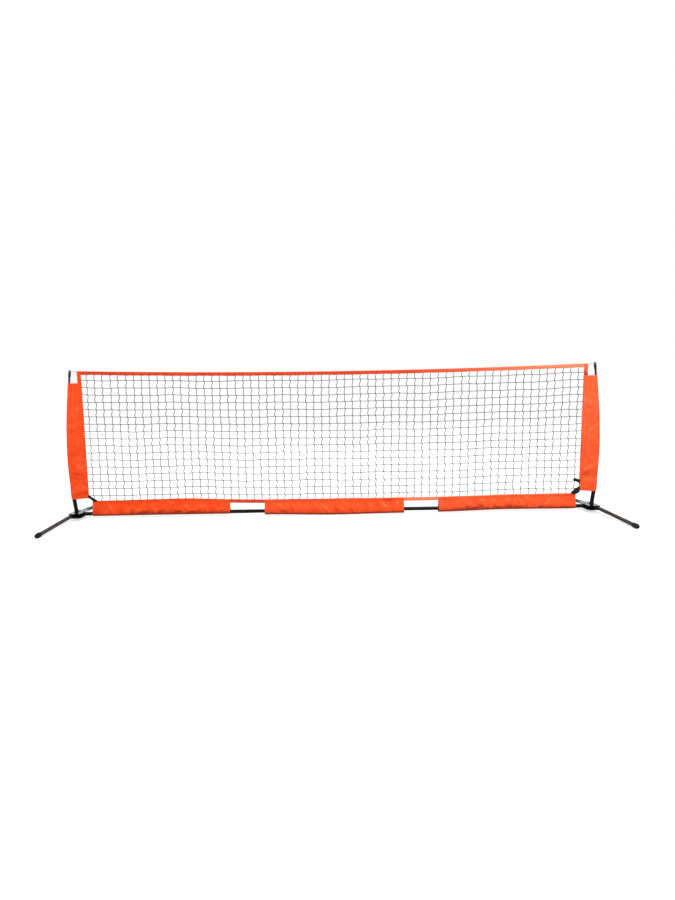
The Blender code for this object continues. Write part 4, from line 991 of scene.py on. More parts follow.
# ------------------------------------------------------------------------------------------------ cloth
@dataclass
class SideSleeve:
    """Orange cloth folded round a pole and sewn to the net's edge, with a strip up to the top band."""

    side: Side
    line: PoleLine
    edges: Edges
    inner_x: float = 1.418
    top_z: float = 0.781
    bottom_z: float = 0.117
    bottom_rise: float = 0.005
    seam_half: float = 0.0012
    thin_radius: float = 0.0068
    wide_radius: float = 0.0118
    neck_z: float = 0.14583
    neck: float = 0.060
    cloth: float = 0.0005
    corner_x: float = 1.5
    rear_shift: float = 0.013
    ripple: float = 0.0012
    ripple_pitch: float = 0.145
    gather: float = 0.0006
    gather_pitch: float = 0.040
    gather_reach: float = 0.012
    hem_width: Pair = (0.0185, 0.0170)
    hem_rise: float = 0.0005
    tuck_depth: float = 0.0020
    deepest: float = 0.0014
    strip_width: float = 0.022
    strip_cloth: float = 0.0009
    strip_gap: float = 0.0016
    strip_inside: float = 0.014
    strip_short: float = 0.003
    strip_curl: float = 0.0005
    tuck_above: float = 0.008
    tuck_width: float = 0.0045
    rows: int = 190
    flat_columns: int = 40
    round_columns: int = 20

    @property
    def look(self) -> SideLook:
        """What is this side's own."""
        return SIDE_LOOKS[self.side]

    def bottom(self, x: np.ndarray) -> np.ndarray:
        """Lower edge, higher at its inner corner."""
        return self.bottom_z + self.bottom_rise * ((self.corner_x - x) / (self.corner_x - self.inner_x))

    def outline(self) -> tuple[np.ndarray, np.ndarray, np.ndarray, np.ndarray]:
        """Work out the sleeve without creases.

        The cloth runs from the seam along the front, round the pole and back along the rear. At height h it
        is a straight taper from the seam's half thickness to the tangent of a circle round the pole.

        Returns:
            x, y and z of the points, and the share of the way across the flat part, 1 on the round part.
        """
        height = np.linspace(self.bottom_z, self.top_z, self.rows)[:, None]
        centre = self.line.x_at(height)
        narrow = np.clip((height - self.neck_z) / self.neck, 0.0, 1.0)
        radius = self.wide_radius + (self.thin_radius - self.wide_radius) * narrow
        tangent = math.pi / 2 + np.arcsin((radius - self.seam_half) / (centre - self.inner_x))
        part = np.linspace(0.0, 1.0, self.flat_columns)[None, :]
        edge_x = centre + radius * np.cos(tangent)
        edge_y = radius * np.sin(tangent)
        flat_x = self.inner_x + (edge_x - self.inner_x) * part
        flat_y = self.seam_half + (edge_y - self.seam_half) * part
        turn = tangent * np.linspace(1.0, -1.0, self.round_columns + 2)[None, 1:-1]
        round_x, round_y = centre + radius * np.cos(turn), radius * np.sin(turn)
        x = np.concatenate([flat_x, round_x, flat_x[:, ::-1]], axis=1)
        y = np.concatenate([-flat_y, -round_y, flat_y[:, ::-1]], axis=1)
        share = np.concatenate([part, np.ones((1, self.round_columns)), part[:, ::-1]], axis=1)
        rise = (height - self.bottom_z) / (self.top_z - self.bottom_z)
        low = self.bottom(x)
        return x, y, low + (self.top_z - low) * rise, np.broadcast_to(share, x.shape)

    def sewn(self, x: np.ndarray, z: np.ndarray, share: np.ndarray) -> tuple[np.ndarray, np.ndarray]:
        """Rise of the cloth by its gathers, which die away from the seam, and by its two level hems."""
        wide, narrow = self.hem_width
        gathers = self.gather * np.sin(TAU * z / self.gather_pitch)
        gathers = gathers * np.exp(-(x - self.inner_x) / self.gather_reach)
        hem = smooth_step(wide, narrow, self.top_z - z) + smooth_step(wide, narrow, z - self.bottom(x))
        return gathers * smooth_step(0.0, 0.03, share), self.hem_rise * hem * (share < 1.0)

    def sleeve(self, strip: bpy.types.Object) -> None:
        """The folded cloth with its creases, hems and the gathers at its seam.

        Creases push the cloth out most halfway between the seam and the pole, and not at all at either.

        Args:
            strip: The strip that is sewn to it.
        """
        x, y, z, share = self.outline()
        seed = self.look.seed
        swell = Creases(seed, count=30, height=0.0030, width=0.014, length=0.070, slant=(-35.0, 35.0),
                        span=(1.43, 1.53), rise=(0.13, 0.77))
        fine = Creases(seed + 1, count=80, height=0.0014, width=0.006, length=0.040, slant=(-60.0, 60.0),
                       span=(1.42, 1.53), rise=(0.12, 0.78))
        window = np.clip(4.0 * share * (1.0 - share), 0.0, 1.0) ** 0.7
        front = np.sign(y)
        shifted = z + np.where(front < 0, 0.0, self.rear_shift)
        ripple = self.ripple * np.sin(TAU * shifted / self.ripple_pitch + 18.0 * (x - self.inner_x))
        small = fine.over(x, shifted)
        placed = sum(tuck.over(x - self.inner_x, z) for tuck in self.look.placed)
        gathers, hem = self.sewn(x, z, share)
        push = window * (swell.over(x, shifted) + small + ripple + self.tuck_depth * placed) + gathers + hem
        y = y + front * np.maximum(push, -self.deepest)
        run = summed(np.hypot(np.diff(x, axis=1), np.diff(y, axis=1)))
        piece = grid_object(f"side_sleeve_{self.side.label}_cloth", stacked(self.side.value * x, y, z),
                            stacked(z[:, :1], run))
        self.paint_shade_and_light(piece, x, z, share, placed, small / fine.height)
        if self.side is Side.RIGHT:
            piece.data.flip_normals()
        thickened(piece, self.cloth)
        fit_out(piece, SIDE_CLOTH, stands_for=(f"side_sleeve_{self.side.label}",))

    def paint_shade_and_light(self, piece: bpy.types.Object, x: np.ndarray, z: np.ndarray, share: np.ndarray,
            placed: np.ndarray, small: np.ndarray) -> None:
        """Paint shade and light into the cloth's colour.

        Valleys, the outer edge beyond the pole and the seam get painted shade. Ridges get a painted
        highlight, and the cloth is painted paler towards its top, by its side's share of painted light.

        Args:
            piece: The sleeve.
            x: Distance of its points from the net's middle.
            z: Their heights.
            share: Their share of the way from the seam to the pole.
            placed: Height of the creases with a place of their own, as a share.
            small: Height of the fine creases, as a share.
        """
        # Painted shade: in valleys, on the outer edge round the pole and along the seam.
        fold = 0.20 * np.clip(-small, 0.0, 1.5) + 0.55 * np.clip(-placed, 0.0, 0.8)
        fold = fold + smooth_step(-0.006, 0.002, x - self.line.x_at(z)) * self.look.edge_shade
        noted(piece, "fold", fold + 0.25 * smooth_step(0.08, 0.0, share))
        # Painted light: paler towards the top, and on ridges as a painted highlight.
        fade = self.look.fade * (0.45 + 0.75 * (z - self.bottom_z))
        noted(piece, "fade", fade + 0.10 * np.clip(small, 0.0, 1.5) + 0.25 * np.clip(placed, 0.0, 1.0))

    def strip(self) -> bpy.types.Object:
        """Doubled strip from inside the sleeve's mouth up over the front of the band's end.

        Its path goes up in z while y swings: it bulges out in a tuck at its foot and lies on the band above.

        Returns:
            The strip.
        """
        low = self.top_z - self.strip_inside
        top = float(self.edges.band_top(np.array(self.inner_x))) - self.strip_short
        rise = np.linspace(0.0, 1.0, 70)
        z = low + (top - low) * rise
        y = -self.strip_gap - self.strip_gap * smooth_step(0.55, 0.80, rise)
        y = y - self.look.strip_tuck * np.exp(-((z - self.top_z - self.tuck_above) / self.tuck_width) ** 2)
        y = y + 0.0012 * smooth_step(0.18, 0.0, rise)
        part = np.linspace(0.0, 1.0, 12)
        across = self.strip_width * part
        x = self.side.value * (self.inner_x - 0.0005 + across)
        curl = self.strip_curl * (2.0 * part - 1.0) ** 4
        points = stacked(x[None, :], y[:, None] + curl[None, :], z[:, None])
        piece = grid_object(f"side_strip_{self.side.label}", points, stacked(z[:, None], across[None, :]))
        # Painted shade at the strip's foot, where it tucks into the sleeve, and along its inner edge;
        # painted light as on its sleeve.
        fold = self.look.strip_shade * smooth_step(0.040, 0.004, z - self.top_z)[:, None]
        noted(piece, "fold", fold + 0.35 * smooth_step(0.15, 0.0, part)[None, :])
        noted(piece, "fade", np.full(points.shape[:2], self.look.fade))
        thickened(piece, self.strip_cloth)
        return fit_out(piece, SIDE_CLOTH)

    def build(self) -> None:
        """Make the strip and the sleeve that it is sewn to."""
        self.sleeve(self.strip())


@dataclass
class Tape:
    """A tape folded lengthwise: over the cord at the top, or under the net's edge at the bottom."""

    name: str
    node: str
    finish: ClothFinish
    edges: Edges
    over_cord: bool
    half_length: float
    fold_radius: float
    # Painted light: the tape is painted paler over this span of x, up to the most share below, where more
    # light falls.
    pale: Pair = (0.3, 1.5)
    most_pale: float = 0.8
    mouth_half: float = 0.0017
    height: float = 0.020
    cloth: float = 0.0007
    ruffle: float = 0.0005
    pulls: tuple[Triple, ...] = (
        (0.0005, 0.0436, 0.0), (0.0006, 0.31, 0.0), (0.0004, 0.117, 1.0))
    rows: int = 520
    side_columns: int = 8
    fold_columns: int = 9

    def build(self) -> None:
        """Carry the folded section along the hanging edge.

        The section is two straight layers joined by a half circle. The layers close in on each other towards
        the mouth, whose edge waves a little where the net pulls on it.
        """
        x = np.linspace(-self.half_length, self.half_length, self.rows)[:, None]
        r = self.fold_radius
        part = np.linspace(0.0, 1.0, self.side_columns)[None, :]
        side_y = self.mouth_half + (r - self.mouth_half) * smooth_step(0.0, 1.0, part)
        side_depth = self.height * (1.0 - part) + r * part
        round_share = np.linspace(0.0, 1.0, self.fold_columns + 2)[1:-1]
        angle = np.linspace(0.0, math.pi, self.fold_columns + 2)[None, 1:-1]
        y = np.concatenate([-side_y, -r * np.cos(angle), side_y[:, ::-1]], axis=1)
        depth = np.concatenate([side_depth, r - r * np.sin(angle), side_depth[:, ::-1]], axis=1)
        share = np.clip(depth / self.height, 0.0, 1.0)
        y = y + share * (1.0 - share) * 4.0 * self.ruffle * np.sin(TAU * x / 0.083 + 2.0) * np.sign(y)
        up = 1.0 if self.over_cord else -1.0
        fold_z = self.edges.band_top(x) if self.over_cord else self.edges.tape_top(x) - self.height
        z = fold_z - up * (depth + self.cloth / 2) - up * waves(x, *self.pulls) * share ** 2 * 0.8
        straight = (self.height - side_depth).ravel()
        around = self.height - r + (math.pi * r) * round_share
        run = np.concatenate([straight, around, self.height - r + math.pi * r + straight])
        from_mouth = np.minimum(run, run[::-1])[None, :]
        piece = grid_object(self.name, stacked(x, y, z), stacked(x, from_mouth))
        # Painted light, paler towards the right end.
        noted(piece, "fade", np.broadcast_to(smooth_step(*self.pale, x) * self.most_pale, y.shape))
        if self.over_cord:
            piece.data.flip_normals()
        thickened(piece, self.cloth)
        fit_out(piece, self.finish, stands_for=(self.node,))


@dataclass
class Hang:
    """Grid of a sleeve that hangs straight, and the heights that its folds are measured from."""

    x: np.ndarray
    y: np.ndarray
    z: np.ndarray
    way: np.ndarray
    seam: np.ndarray
    top: np.ndarray
    rise: np.ndarray


@dataclass
class BottomSleeve:
    """Orange cloth round the base tube, sewn to the tape above it.

    Slack is how much lower it hangs at its left end, its middle and its right end. Bunch says where on the
    way along it, as shares, the painted shade of its bunching sets in, is full, begins to end and has ended.
    """

    label: str
    low_x: float
    high_x: float
    seed: int
    edges: Edges
    axis_z: float = 0.030
    slack: Triple = (0.002, 0.002, 0.002)
    slant: Pair = (-42.0, 42.0)
    # Share of painted light over the whole sleeve, for the sleeves on which more light falls.
    fade: float = 0.0
    tucks: tuple[Tuck, ...] = ()
    bunch: tuple[float, float, float, float] = (0.1, 0.2, 0.8, 0.9)
    radius: float = 0.0116
    lap: float = 0.0165
    lap_half: float = 0.0027
    cloth: float = 0.0005
    hem: float = 0.042
    hem_rise: float = 0.0004
    bulge: float = 0.0022
    bulge_pitch: float = 0.155
    bulge_slant: float = 1.2
    rear_shift: float = 0.37
    gather: float = 0.0012
    gather_pitch: float = 0.026
    gather_slant: float = 0.6
    wanders: tuple[Triple, ...] = ((1.7, 0.13, 0.0), (1.1, 0.31, 0.0))
    # Teeth of painted shade that rise from the underside where the cloth is bunched.
    tooth_pitch: float = 0.046
    tooth_low: float = 0.004
    tooth_height: float = 0.020
    tuck_depth: float = 0.0028
    deepest: float = 0.0006
    row_pitch: float = 0.0032
    columns_up: int = 26
    columns_under: int = 24

    def hang(self) -> Hang:
        """Work out the sleeve without creases.

        The cloth lies on the tape above the seam, widens below it by a smooth step, goes round under the
        tube in half a circle and comes up the rear in the same way. Slack lets the half circle hang lower.

        Returns:
            Its grid, from the front's upper edge to the rear's.
        """
        rows = int((self.high_x - self.low_x) / self.row_pitch)
        x = np.linspace(self.low_x, self.high_x, rows)[:, None]
        way = (x - self.low_x) / (self.high_x - self.low_x)
        first, middle, last = self.slack
        slack = first + (middle - first) * smooth_step(0.0, 0.5, way)
        slack = slack + (last - middle) * smooth_step(0.5, 1.0, way)
        seam = self.edges.tape_top(x) - self.edges.tape_height
        top, low = seam + self.lap, self.axis_z - slack
        z_up = top + (low - top) * np.linspace(0.0, 1.0, self.columns_up)[None, :]
        widen = smooth_step(0.0, 1.0, (seam - z_up) / (seam - self.axis_z))
        y_up = self.lap_half + (self.radius - self.lap_half) * np.where(z_up > seam, 0.0, widen)
        angle = np.linspace(0.0, math.pi, self.columns_under + 2)[None, 1:-1]
        y_under = np.broadcast_to(-self.radius * np.cos(angle), (rows, self.columns_under))
        y = np.concatenate([-y_up, y_under, y_up[:, ::-1]], axis=1)
        z = np.concatenate([z_up, low - self.radius * np.sin(angle), z_up[:, ::-1]], axis=1)
        return Hang(x, y, z, way, seam, top, z - (low - self.radius))

    def wander(self, hang: Hang) -> np.ndarray:
        """Phase of the gathers, which drifts along the tube so that they don't come evenly."""
        return waves(hang.x, *self.wanders)

    def pushed(self, hang: Hang, small: np.ndarray, placed: np.ndarray) -> np.ndarray:
        """Work out how far the cloth stands out from its hanging form.

        Creases and a slow bulge set in below the seam and are weaker at the hems. Gathers run aslant round
        the tube. The hems add their own thickness.

        Args:
            hang: The sleeve without creases.
            small: Height of the fine creases.
            placed: Height of the creases with a place of their own, as a share.

        Returns:
            The distance at each point.
        """
        x, z = hang.x, hang.z
        swell = Creases(self.seed, count=40, height=0.0046, width=0.0075, length=0.045, slant=self.slant,
                        span=(self.low_x, self.high_x), rise=(0.02, 0.08))
        shift = np.where(np.sign(hang.y) < 0, 0.0, self.rear_shift)
        aslant = TAU * (x + self.bulge_slant * (z - self.axis_z) + shift) / self.bulge_pitch
        bulge = self.bulge * np.sin(aslant) ** 2
        below = smooth_step(0.0, 0.012, hang.seam - z)
        ends = smooth_step(0.0, self.hem, x - self.low_x) * smooth_step(0.0, self.hem, self.high_x - x)
        ends = 0.25 + 0.75 * ends
        aslant = TAU * (x - self.gather_slant * z) / self.gather_pitch + self.wander(hang)
        gather = self.gather * np.sin(aslant) * smooth_step(0.050, 0.020, z)
        ridges = below * ends * (0.6 * swell.over(x, z) + 0.6 * small + self.tuck_depth * placed)
        ridges = (ridges + gather * ends) * (0.2 + 0.8 * smooth_step(0.0, 0.010, hang.rise))
        edge = np.minimum(x - self.low_x, self.high_x - x)
        return (np.maximum(ridges + below * ends * bulge, -self.deepest)
                + self.hem_rise * smooth_step(self.hem + 0.0012, self.hem, edge))

    def folded(self, hang: Hang, small: np.ndarray, placed: np.ndarray) -> np.ndarray:
        """Work out the painted shade at each point, deepest in folds and under the cloth.

        Valleys, the underside and the line below the tape get painted shade. Where the cloth is bunched,
        teeth of painted shade stand up from the underside, as high as a sine's size to the power 1.5.

        Args:
            hang: The sleeve without creases.
            small: Height of the fine creases, as a share.
            placed: Height of the creases with a place of their own, as a share.

        Returns:
            The painted shade at each point, from 0 to 0.9.
        """
        start, full, less, gone = self.bunch
        bunched = smooth_step(start, full, hang.way) * smooth_step(gone, less, hang.way)
        aslant = TAU * (hang.x - self.gather_slant * hang.z) / self.tooth_pitch + self.wander(hang)
        crest = self.tooth_low + self.tooth_height * bunched * np.abs(np.sin(0.5 * aslant)) ** 1.5
        fold = 0.90 * np.clip(-placed, 0.0, 0.9) + 0.90 * smooth_step(0.0170, 0.0060, hang.rise)
        fold = fold + 0.45 * bunched * smooth_step(crest + 0.006, crest - 0.003, hang.rise)
        fold = fold + 0.20 * smooth_step(0.045, 0.012, hang.rise)
        fold = fold + 0.16 * np.clip(-small, 0.0, 1.5) + 0.25 * smooth_step(0.006, 0.001, hang.top - hang.z)
        return np.clip(fold, 0.0, 0.9)

    def build(self) -> None:
        """Push the hanging form outwards by its folds, and note its painted shade and light."""
        hang = self.hang()
        fine = Creases(self.seed + 1, count=110, height=0.0018, width=0.0034, length=0.024,
                       slant=self.slant, span=(self.low_x, self.high_x), rise=(0.01, 0.085))
        small = fine.over(hang.x, hang.z)
        placed = sum(tuck.over(hang.x - self.low_x, hang.rise) for tuck in self.tucks)
        push = self.pushed(hang, small, placed)
        small = small / fine.height
        share = np.abs(hang.y) / self.radius
        y = hang.y * (1.0 + push / self.radius * np.clip(share + 0.15, 0.0, 1.0) / np.maximum(share, 0.15))
        steps = np.hypot(np.diff(y, axis=1), np.diff(hang.z, axis=1))
        run = summed(steps)
        from_edge = np.minimum(run, run[:, -1:] - run)
        piece = grid_object(f"bottom_sleeve_{self.label}_cloth", stacked(hang.x, y, hang.z),
                            stacked(hang.x, from_edge))
        # Painted shade in folds, under the sleeve and below the tape; painted light over the sleeve and on
        # its ridges.
        noted(piece, "fold", self.folded(hang, small, placed))
        noted(piece, "fade", self.fade + 0.30 * np.clip(placed, 0.0, 1.3) + 0.08 * np.clip(small, 0.0, 1.5))
        thickened(piece, self.cloth)
        fit_out(piece, BOTTOM_CLOTH, stands_for=(f"bottom_sleeve_{self.label}",))


@dataclass
class Strap:
    """Flat webbing between two points, with a width that changes along it, a twist and a bow."""

    name: str
    start: Pair
    end: Pair
    widths: Triple
    depth_y: float
    bow: float = 0.0
    twist: float = 0.0
    droop: float = 0.0
    hem_x: float = 1.4205
    foot_z: float = 0.0
    thickness: float = 0.0012
    stands_for: tuple[str, ...] = ()

    def build(self) -> None:
        """Carry the strap's width along a line that bows forwards and down by a sine, turning as it goes.

        Its ends are cut along the side sleeve's edge and along the tape.
        """
        t = np.linspace(0.0, 1.0, 48)[:, None]
        part = np.linspace(-0.5, 0.5, 13)[None, :]
        start, run = np.array(self.start), np.array(self.end) - np.array(self.start)
        length = float(np.hypot(*run))
        flat = np.array([-run[1], run[0]]) / length
        flat = flat if flat[1] > 0.0 else -flat
        turn = math.radians(self.twist) * np.sin(math.pi * t) ** 2
        offset = np.interp(t, (0.0, 0.5, 1.0), self.widths) * part
        arch = np.sin(math.pi * t)
        x = start[0] + run[0] * t + offset * np.cos(turn) * flat[0]
        z = start[1] + run[1] * t + offset * np.cos(turn) * flat[1] - self.droop * arch
        cup = 1.0 - 0.35 * (2.0 * part) ** 2
        y = self.depth_y - self.bow * arch * cup - np.abs(offset) * np.sin(turn) * 0.6
        points = stacked(np.clip(x, -self.hem_x, self.hem_x), y, np.maximum(z, self.foot_z))
        piece = thickened(grid_object(self.name, points, stacked(length * t, offset)), self.thickness)
        fit_out(piece, WEBBING, stands_for=self.stands_for)


@dataclass
class NetMesh:
    """Knotted square mesh: upright strings that jog from knot to knot, level ones and the knots."""

    edges: Edges
    half_width: float = 1.4185
    end_gap: float = 0.030
    columns: int = 65
    rows: int = 18
    tuck: float = 0.009
    first_level: float = 0.029
    last_level: float = 0.0285
    upright_radius: float = 0.00175
    level_radius: float = 0.00150
    steps: int = 6
    sides: int = 6
    jog: float = 0.0020
    step: float = 0.0026
    stray: float = 0.0011
    bow: float = 0.0011
    level_sag: float = 0.0008
    level_stray: float = 0.0005
    knot: Triple = (0.0027, 0.0023, 0.0036)
    knot_swell: float = 0.18

    def knots(self) -> np.ndarray:
        """Places of the knots, one more row and column than there are openings.

        Columns and rows share the width and the height evenly, but for the first and last gap. Every knot is
        then pushed sideways by a jog that changes sign from row to row and whose size drifts along the net,
        and by a smaller random part. Its height drifts too. None of this reaches the net's edges.

        Returns:
            Array (rows + 1, columns + 1, 3).
        """
        draw = np.random.RandomState(5)
        i = np.linspace(0.0, 1.0, self.columns + 1)[None, :]
        j = np.linspace(0.0, 1.0, self.rows + 1)[:, None]
        inner = self.half_width - self.end_gap
        even = np.linspace(-inner, inner, self.columns - 1)
        across = np.concatenate([[-self.half_width], even, [self.half_width]])
        x = np.broadcast_to(across, (self.rows + 1, self.columns + 1)).copy()
        inside = smooth_step(0.0, 0.03, i) * smooth_step(0.0, 0.03, 1.0 - i)
        free = smooth_step(0.0, 0.05, j) * smooth_step(0.0, 0.05, 1.0 - j)
        sign = np.where(np.arange(self.rows + 1)[:, None] % 2, 1.0, -1.0)
        drift = np.abs(np.sin(5.3 * i + 2.1 * j + 0.7))
        amount = 0.35 + 0.65 * drift * draw.uniform(0.3, 1.0, (1, self.columns + 1))
        x += sign * self.jog * 0.5 * amount * inside * free
        x += self.stray * draw.standard_normal(x.shape) * inside * free
        foot, head = self.edges.tape_top(x), self.edges.band_top(x) - self.edges.band_height
        share = (np.arange(1, self.rows) - 1.0)[:, None] / (self.rows - 2.0)
        low, high = foot[1:-1] + self.first_level, head[1:-1] - self.last_level
        z = np.concatenate([foot[:1] - self.tuck, low + (high - low) * share, head[-1:] + self.tuck])
        drift = 0.0016 * np.sin(31.0 * i + 3.0 * j) + 0.0010 * np.sin(57.0 * i - 5.0 * j + 1.0)
        z += (drift + 0.0007 * draw.standard_normal(z.shape)) * free * (0.3 + 0.7 * inside)
        y = 0.0008 * np.sin(9.0 * i + 7.0 * j) * free * inside
        return stacked(x, y, z)

    def strings(self, name: str, corners: np.ndarray, radius: float, bow: np.ndarray,
                jog: np.ndarray) -> bpy.types.Object:
        """Round strings through rows of knots, as rings along each.

        Between knots k and k+1 the string goes straight, plus a bow b sin(pi t) and a jog j sin(2 pi t).

        Args:
            name: Name of the new object.
            corners: Array (strings, knots, 3).
            radius: Radius of the twine.
            bow: Direction and size of the bow, like corners without its last knot.
            jog: The same for the jog, which leaves one knot on one side and reaches the next on the other.

        Returns:
            All the strings in one object.
        """
        t = np.arange(self.steps) / self.steps
        ahead = corners[:, 1:] - corners[:, :-1]
        line = corners[:, :-1, None] + ahead[:, :, None] * t[None, None, :, None]
        line = line + bow[:, :, None] * np.sin(math.pi * t)[None, None, :, None]
        line = line + jog[:, :, None] * np.sin(TAU * t)[None, None, :, None]
        line = np.concatenate([line.reshape(len(corners), -1, 3), corners[:, -1:]], axis=1)
        points = tube_points(line, radius, self.sides)
        gap = float(np.linalg.norm(ahead[0, 0])) / self.steps
        run, turn = np.arange(points.shape[1]) * gap, np.linspace(0.0, 1.0, self.sides + 1)
        uv = np.broadcast_to(stacked(run[:, None], turn[None]), (*points.shape[:2], self.sides + 1, 2))
        return smoothed(close_up(grid_object(name, points, uv, wrap=True)), 75.0)

    def knot_shapes(self, centres: np.ndarray) -> bpy.types.Object:
        """Small lumps at the crossings: an egg whose radius swells by a sine of both angles."""
        round_about = np.linspace(0.0, TAU, 8, endpoint=False)[None, :]
        up = np.linspace(-math.pi / 2, math.pi / 2, 5)[:, None]
        swell = 1.0 + self.knot_swell * np.sin(2.0 * round_about + 1.0) * np.cos(up)
        wide, deep, high = self.knot
        lump = stacked(wide * swell * np.cos(up) * np.cos(round_about),
                       deep * swell * np.cos(up) * np.sin(round_about), high * np.sin(up))
        points = centres.reshape(-1, 1, 1, 3) + lump[None]
        uv = np.zeros((*points.shape[:2], points.shape[2] + 1, 2))
        return smoothed(close_up(grid_object("net_knots", points, uv, wrap=True)), 75.0)

    def build(self) -> None:
        """Make the upright strings, the level ones, which sag between their knots, and the knots."""
        knots = self.knots()
        draw = np.random.RandomState(9)
        uprights, levels = np.swapaxes(knots, 0, 1)[1:-1], knots[1:-1]
        bow = np.zeros_like(uprights[:, 1:])
        bow[..., 0] = self.bow * draw.standard_normal(bow.shape[:2])
        jog = np.zeros_like(bow)
        jog[..., 0] = -self.step * draw.uniform(0.6, 1.2, bow.shape[:2])
        verticals = self.strings("net_verticals", uprights, self.upright_radius, bow, jog)
        fit_out(verticals, TWINE, stands_for=("net",))
        bow = np.zeros_like(levels[:, 1:])
        bow[..., 2] = -self.level_sag + self.level_stray * draw.standard_normal(bow.shape[:2])
        fit_out(self.strings("net_levels", levels, self.level_radius, bow, np.zeros_like(bow)), TWINE)
        fit_out(self.knot_shapes(knots[1:-1, 1:-1]), TWINE)


@dataclass
class TopCord:
    """Cord in the fold of the top band, with a loop round each pole tip."""

    line: PoleLine
    edges: Edges
    radius: float = 0.0015
    drop: float = 0.0026
    neck: float = 0.0050
    gap: float = 0.0003
    groove: float = 0.00415

    def loop(self, side: Side) -> tuple[bpy.types.Object, np.ndarray]:
        """Ring in the tip's groove, and the point of it that faces the net."""
        axis = self.line.tip_axis(side)
        inward = unit(np.array([-side.value * axis[2], 0.0, side.value * axis[0]]))
        centre = self.line.end(side) + axis * self.groove
        reach = self.neck + self.gap + self.radius
        section = [(reach + self.radius * math.cos(a), self.radius * math.sin(a))
                   for a in np.linspace(0.0, TAU, 13)]
        ring = turned(f"cord_loop_{side.label}", section, centre, axis, 40)
        return ring, centre + reach * inward

    def build(self) -> None:
        """Make both loops and the straight cord between them."""
        ends = []
        for side in Side:
            ring, point = self.loop(side)
            fit_out(ring, GREY_CORD)
            ends.append(point)
        half = self.edges.band_half
        x = np.linspace(-half, half, 160)
        inside = stacked(x, 0.0, self.edges.band_top(x) - self.drop)
        path = np.vstack([ends[0], inside, ends[1]])
        fit_out(swept("top_cord_fine", path, self.radius, 12), GREY_CORD, stands_for=("top_cord",))


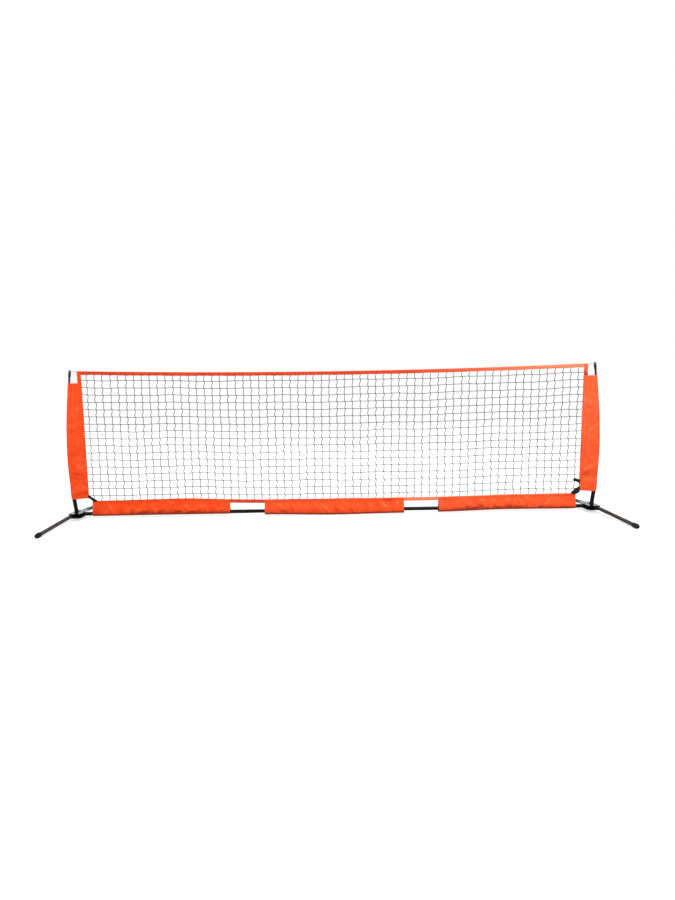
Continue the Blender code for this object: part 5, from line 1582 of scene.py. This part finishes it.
# ------------------------------------------------------------------------------------------------ studio
@dataclass
class Studio:
    """Camera of the photograph, white floor and soft light."""

    eye: Triple = (-0.0955, -2.7307, 0.6701)
    yaw: float = 0.1102
    pitch: float = 6.049
    roll: float = 0.8996
    focal_px: float = 479.03
    centre_px: float = 317.9
    picture: tuple[int, int] = (675, 900)
    sensor: float = 36.0
    soft_light: float = 0.50
    ground_half: float = 9.0
    ground_grey: float = 0.42
    glow_from_to: Pair = (1.5, 6.0)
    glow: Pair = (0.64, 0.90)
    lamps_face: Triple = (0.0, 0.0, 0.4)

    @staticmethod
    def stood(name: str, data: bpy.types.ID, place: Triple, right: np.ndarray,
              up: np.ndarray, ahead: np.ndarray) -> bpy.types.Object:
        """Put a camera or a lamp at a place.

        Args:
            name: Name of the new object.
            data: The camera or the lamp.
            place: Where it stands.
            right: Direction to its right.
            up: Direction over it.
            ahead: Direction that it faces.

        Returns:
            The object.
        """
        turn = np.eye(4)
        turn[:3] = np.column_stack([right, up, -ahead, place])
        obj = bpy.data.objects.new(name, data)
        obj.matrix_world = Matrix(turn.tolist())
        bpy.context.scene.collection.objects.link(obj)
        return obj

    def camera(self) -> None:
        """Place the camera from its yaw, pitch and roll in degrees."""
        yaw, pitch, roll = (math.radians(a) for a in (self.yaw, self.pitch, self.roll))
        level = math.cos(pitch)
        ahead = np.array([math.sin(yaw) * level, math.cos(yaw) * level, -math.sin(pitch)])
        right = np.array([math.cos(yaw), -math.sin(yaw), 0.0])
        up = np.cross(right, ahead)
        right, up = (math.cos(roll) * right - math.sin(roll) * up,
                     math.sin(roll) * right + math.cos(roll) * up)
        data = bpy.data.cameras.new("view")
        data.sensor_width = self.sensor
        data.lens = self.focal_px / max(self.picture) * self.sensor
        data.shift_x = (self.picture[0] / 2.0 - self.centre_px) / max(self.picture)
        data.clip_start, data.clip_end = 0.05, 60.0
        bpy.context.scene.camera = self.stood("view", data, self.eye, right, up, ahead)

    def floor(self) -> None:
        """White ground that shows a faint shadow, and glows more the farther it is from the net."""
        edge = np.array([-self.ground_half, self.ground_half])
        ground = grid_object("ground", stacked(edge[None, :], edge[:, None], 0.0))
        sheet = ShaderSheet("ground_white")
        seen = sheet.add("ShaderNodeLightPath")
        direct = sheet.math("MAXIMUM", seen.outputs["Is Camera Ray"], seen.outputs["Is Glossy Ray"])
        direct = sheet.math("MAXIMUM", direct, seen.outputs["Is Transmission Ray"])
        away = sheet.add("ShaderNodeVectorMath", {0: sheet.place.outputs["Object"]}, operation="LENGTH")
        glow = sheet.between(away.outputs["Value"], self.glow_from_to, self.glow)
        sheet.set(Base_Color=rgba((self.ground_grey,) * 3), Roughness=1.0, Specular_IOR_Level=0.0,
                  Emission_Color=WHITE, Emission_Strength=sheet.math("MULTIPLY", direct, glow))
        ground.data.materials.append(sheet.material)

    def world(self) -> None:
        """Surroundings: white to the eye, a soft light, and in gloss white behind and dim in front."""
        world = bpy.data.worlds.new("studio")
        bpy.context.scene.world = world
        world.use_nodes = True
        sheet = NodeSheet(world.node_tree)
        seen = sheet.add("ShaderNodeLightPath").outputs
        facing = sheet.add("ShaderNodeSeparateXYZ", {0: sheet.place.outputs["Generated"]})
        gloss = sheet.between(facing.outputs["Y"], (-0.6, 0.1), (0.25, 1.0))
        direct = sheet.math("MAXIMUM", seen["Is Camera Ray"], seen["Is Transmission Ray"])
        light = sheet.add("ShaderNodeMix", {0: seen["Is Glossy Ray"], 2: self.soft_light, 3: gloss})
        strength = sheet.add("ShaderNodeMix", {0: direct, 2: light.outputs[0], 3: 1.0})
        sky = sheet.tree.nodes["Background"].inputs
        sheet.feed(sky["Strength"], strength.outputs[0])
        sheet.feed(sky["Color"], WHITE)

    def lamp(self, name: str, place: Triple, size: float, power: float) -> None:
        """A square soft light that faces the middle of the net."""
        data = bpy.data.lights.new(name, "AREA")
        data.size = size
        data.energy = power
        ahead = unit(np.array(self.lamps_face) - np.array(place))
        right = unit(np.cross(ahead, (0.0, 0.0, 1.0)))
        self.stood(name, data, place, right, np.cross(right, ahead), ahead)

    def build(self) -> None:
        """Set up the view, the floor and the light."""
        bpy.context.scene.view_settings.view_transform = "Standard"
        self.camera()
        self.floor()
        self.world()
        self.lamp("key", (1.5, -2.3, 3.6), 1.2, 172.0)
        self.lamp("fill", (-2.6, -2.8, 2.4), 2.5, 55.0)
        self.lamp("rear", (0.5, 3.0, 2.6), 3.0, 75.0)


def main() -> None:
    """Load the frame, make every piece, and note the sizes."""
    logging.basicConfig(level=logging.INFO, format="%(name)s %(message)s")
    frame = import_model()
    line, edges = PoleLine(), Edges()
    Studio().build()
    BaseFrame().build()
    Dresser(frame["nodes"]).build()
    TopCord(line, edges).build()
    NetMesh(edges).build()
    for side in Side:
        SnapSpring(side).build()
        Upright(side, line).build()
        SideSleeve(side, line, edges).build()
    Tape("top_band_cloth", "top_band", BAND_TAPE, edges, over_cord=True, half_length=edges.band_half,
         fold_radius=0.0022).build()
    Tape("bottom_tape_cloth", "bottom_tape", FOOT_TAPE, edges, over_cord=False, half_length=edges.tape_half,
         fold_radius=0.0017, pale=(-0.4, 0.8)).build()
    BottomSleeve("left", -edges.tape_half, -0.604, seed=31, edges=edges, slack=(0.002, 0.0005, 0.0005),
                 slant=(5.0, 55.0), tucks=LEFT_TUCKS, bunch=(0.20, 0.35, 0.70, 0.97)).build()
    BottomSleeve("middle", -0.404, 0.404, seed=47, edges=edges, slack=(0.0085, 0.0155, 0.0115), fade=0.04,
                 slant=(-70.0, -35.0), tucks=MIDDLE_TUCKS, bunch=(1.0, 1.5, 1.5, 2.0)).build()
    BottomSleeve("right", 0.604, edges.tape_half, seed=59, edges=edges, slack=(0.009, 0.0005, 0.002),
                 fade=0.08, slant=(10.0, 65.0), tucks=RIGHT_TUCKS, bunch=(0.04, 0.20, 0.55, 0.66)).build()
    Strap("corner_strap_left_webbing", start=(-1.4240, 0.1370), end=(-1.3740, 0.1020),
          widths=(0.0170, 0.0160, 0.0160), depth_y=-0.0040, bow=0.0010, twist=10.0, foot_z=0.1015,
          stands_for=("corner_strap_left",)).build()
    Strap("corner_strap_right_webbing", start=(1.4240, 0.1350), end=(1.3760, 0.1020),
          widths=(0.0300, 0.0320, 0.0250), depth_y=-0.0040, bow=0.0040, droop=-0.0015, foot_z=0.1015,
          stands_for=("corner_strap_right",)).build()
    Strap("strap_end_right_webbing", start=(1.4240, 0.1745), end=(1.3820, 0.1890),
          widths=(0.0200, 0.0190, 0.0160), depth_y=-0.0036, bow=0.0010,
          stands_for=("strap_end_right",)).build()


if __name__ == "__main__":
    main()
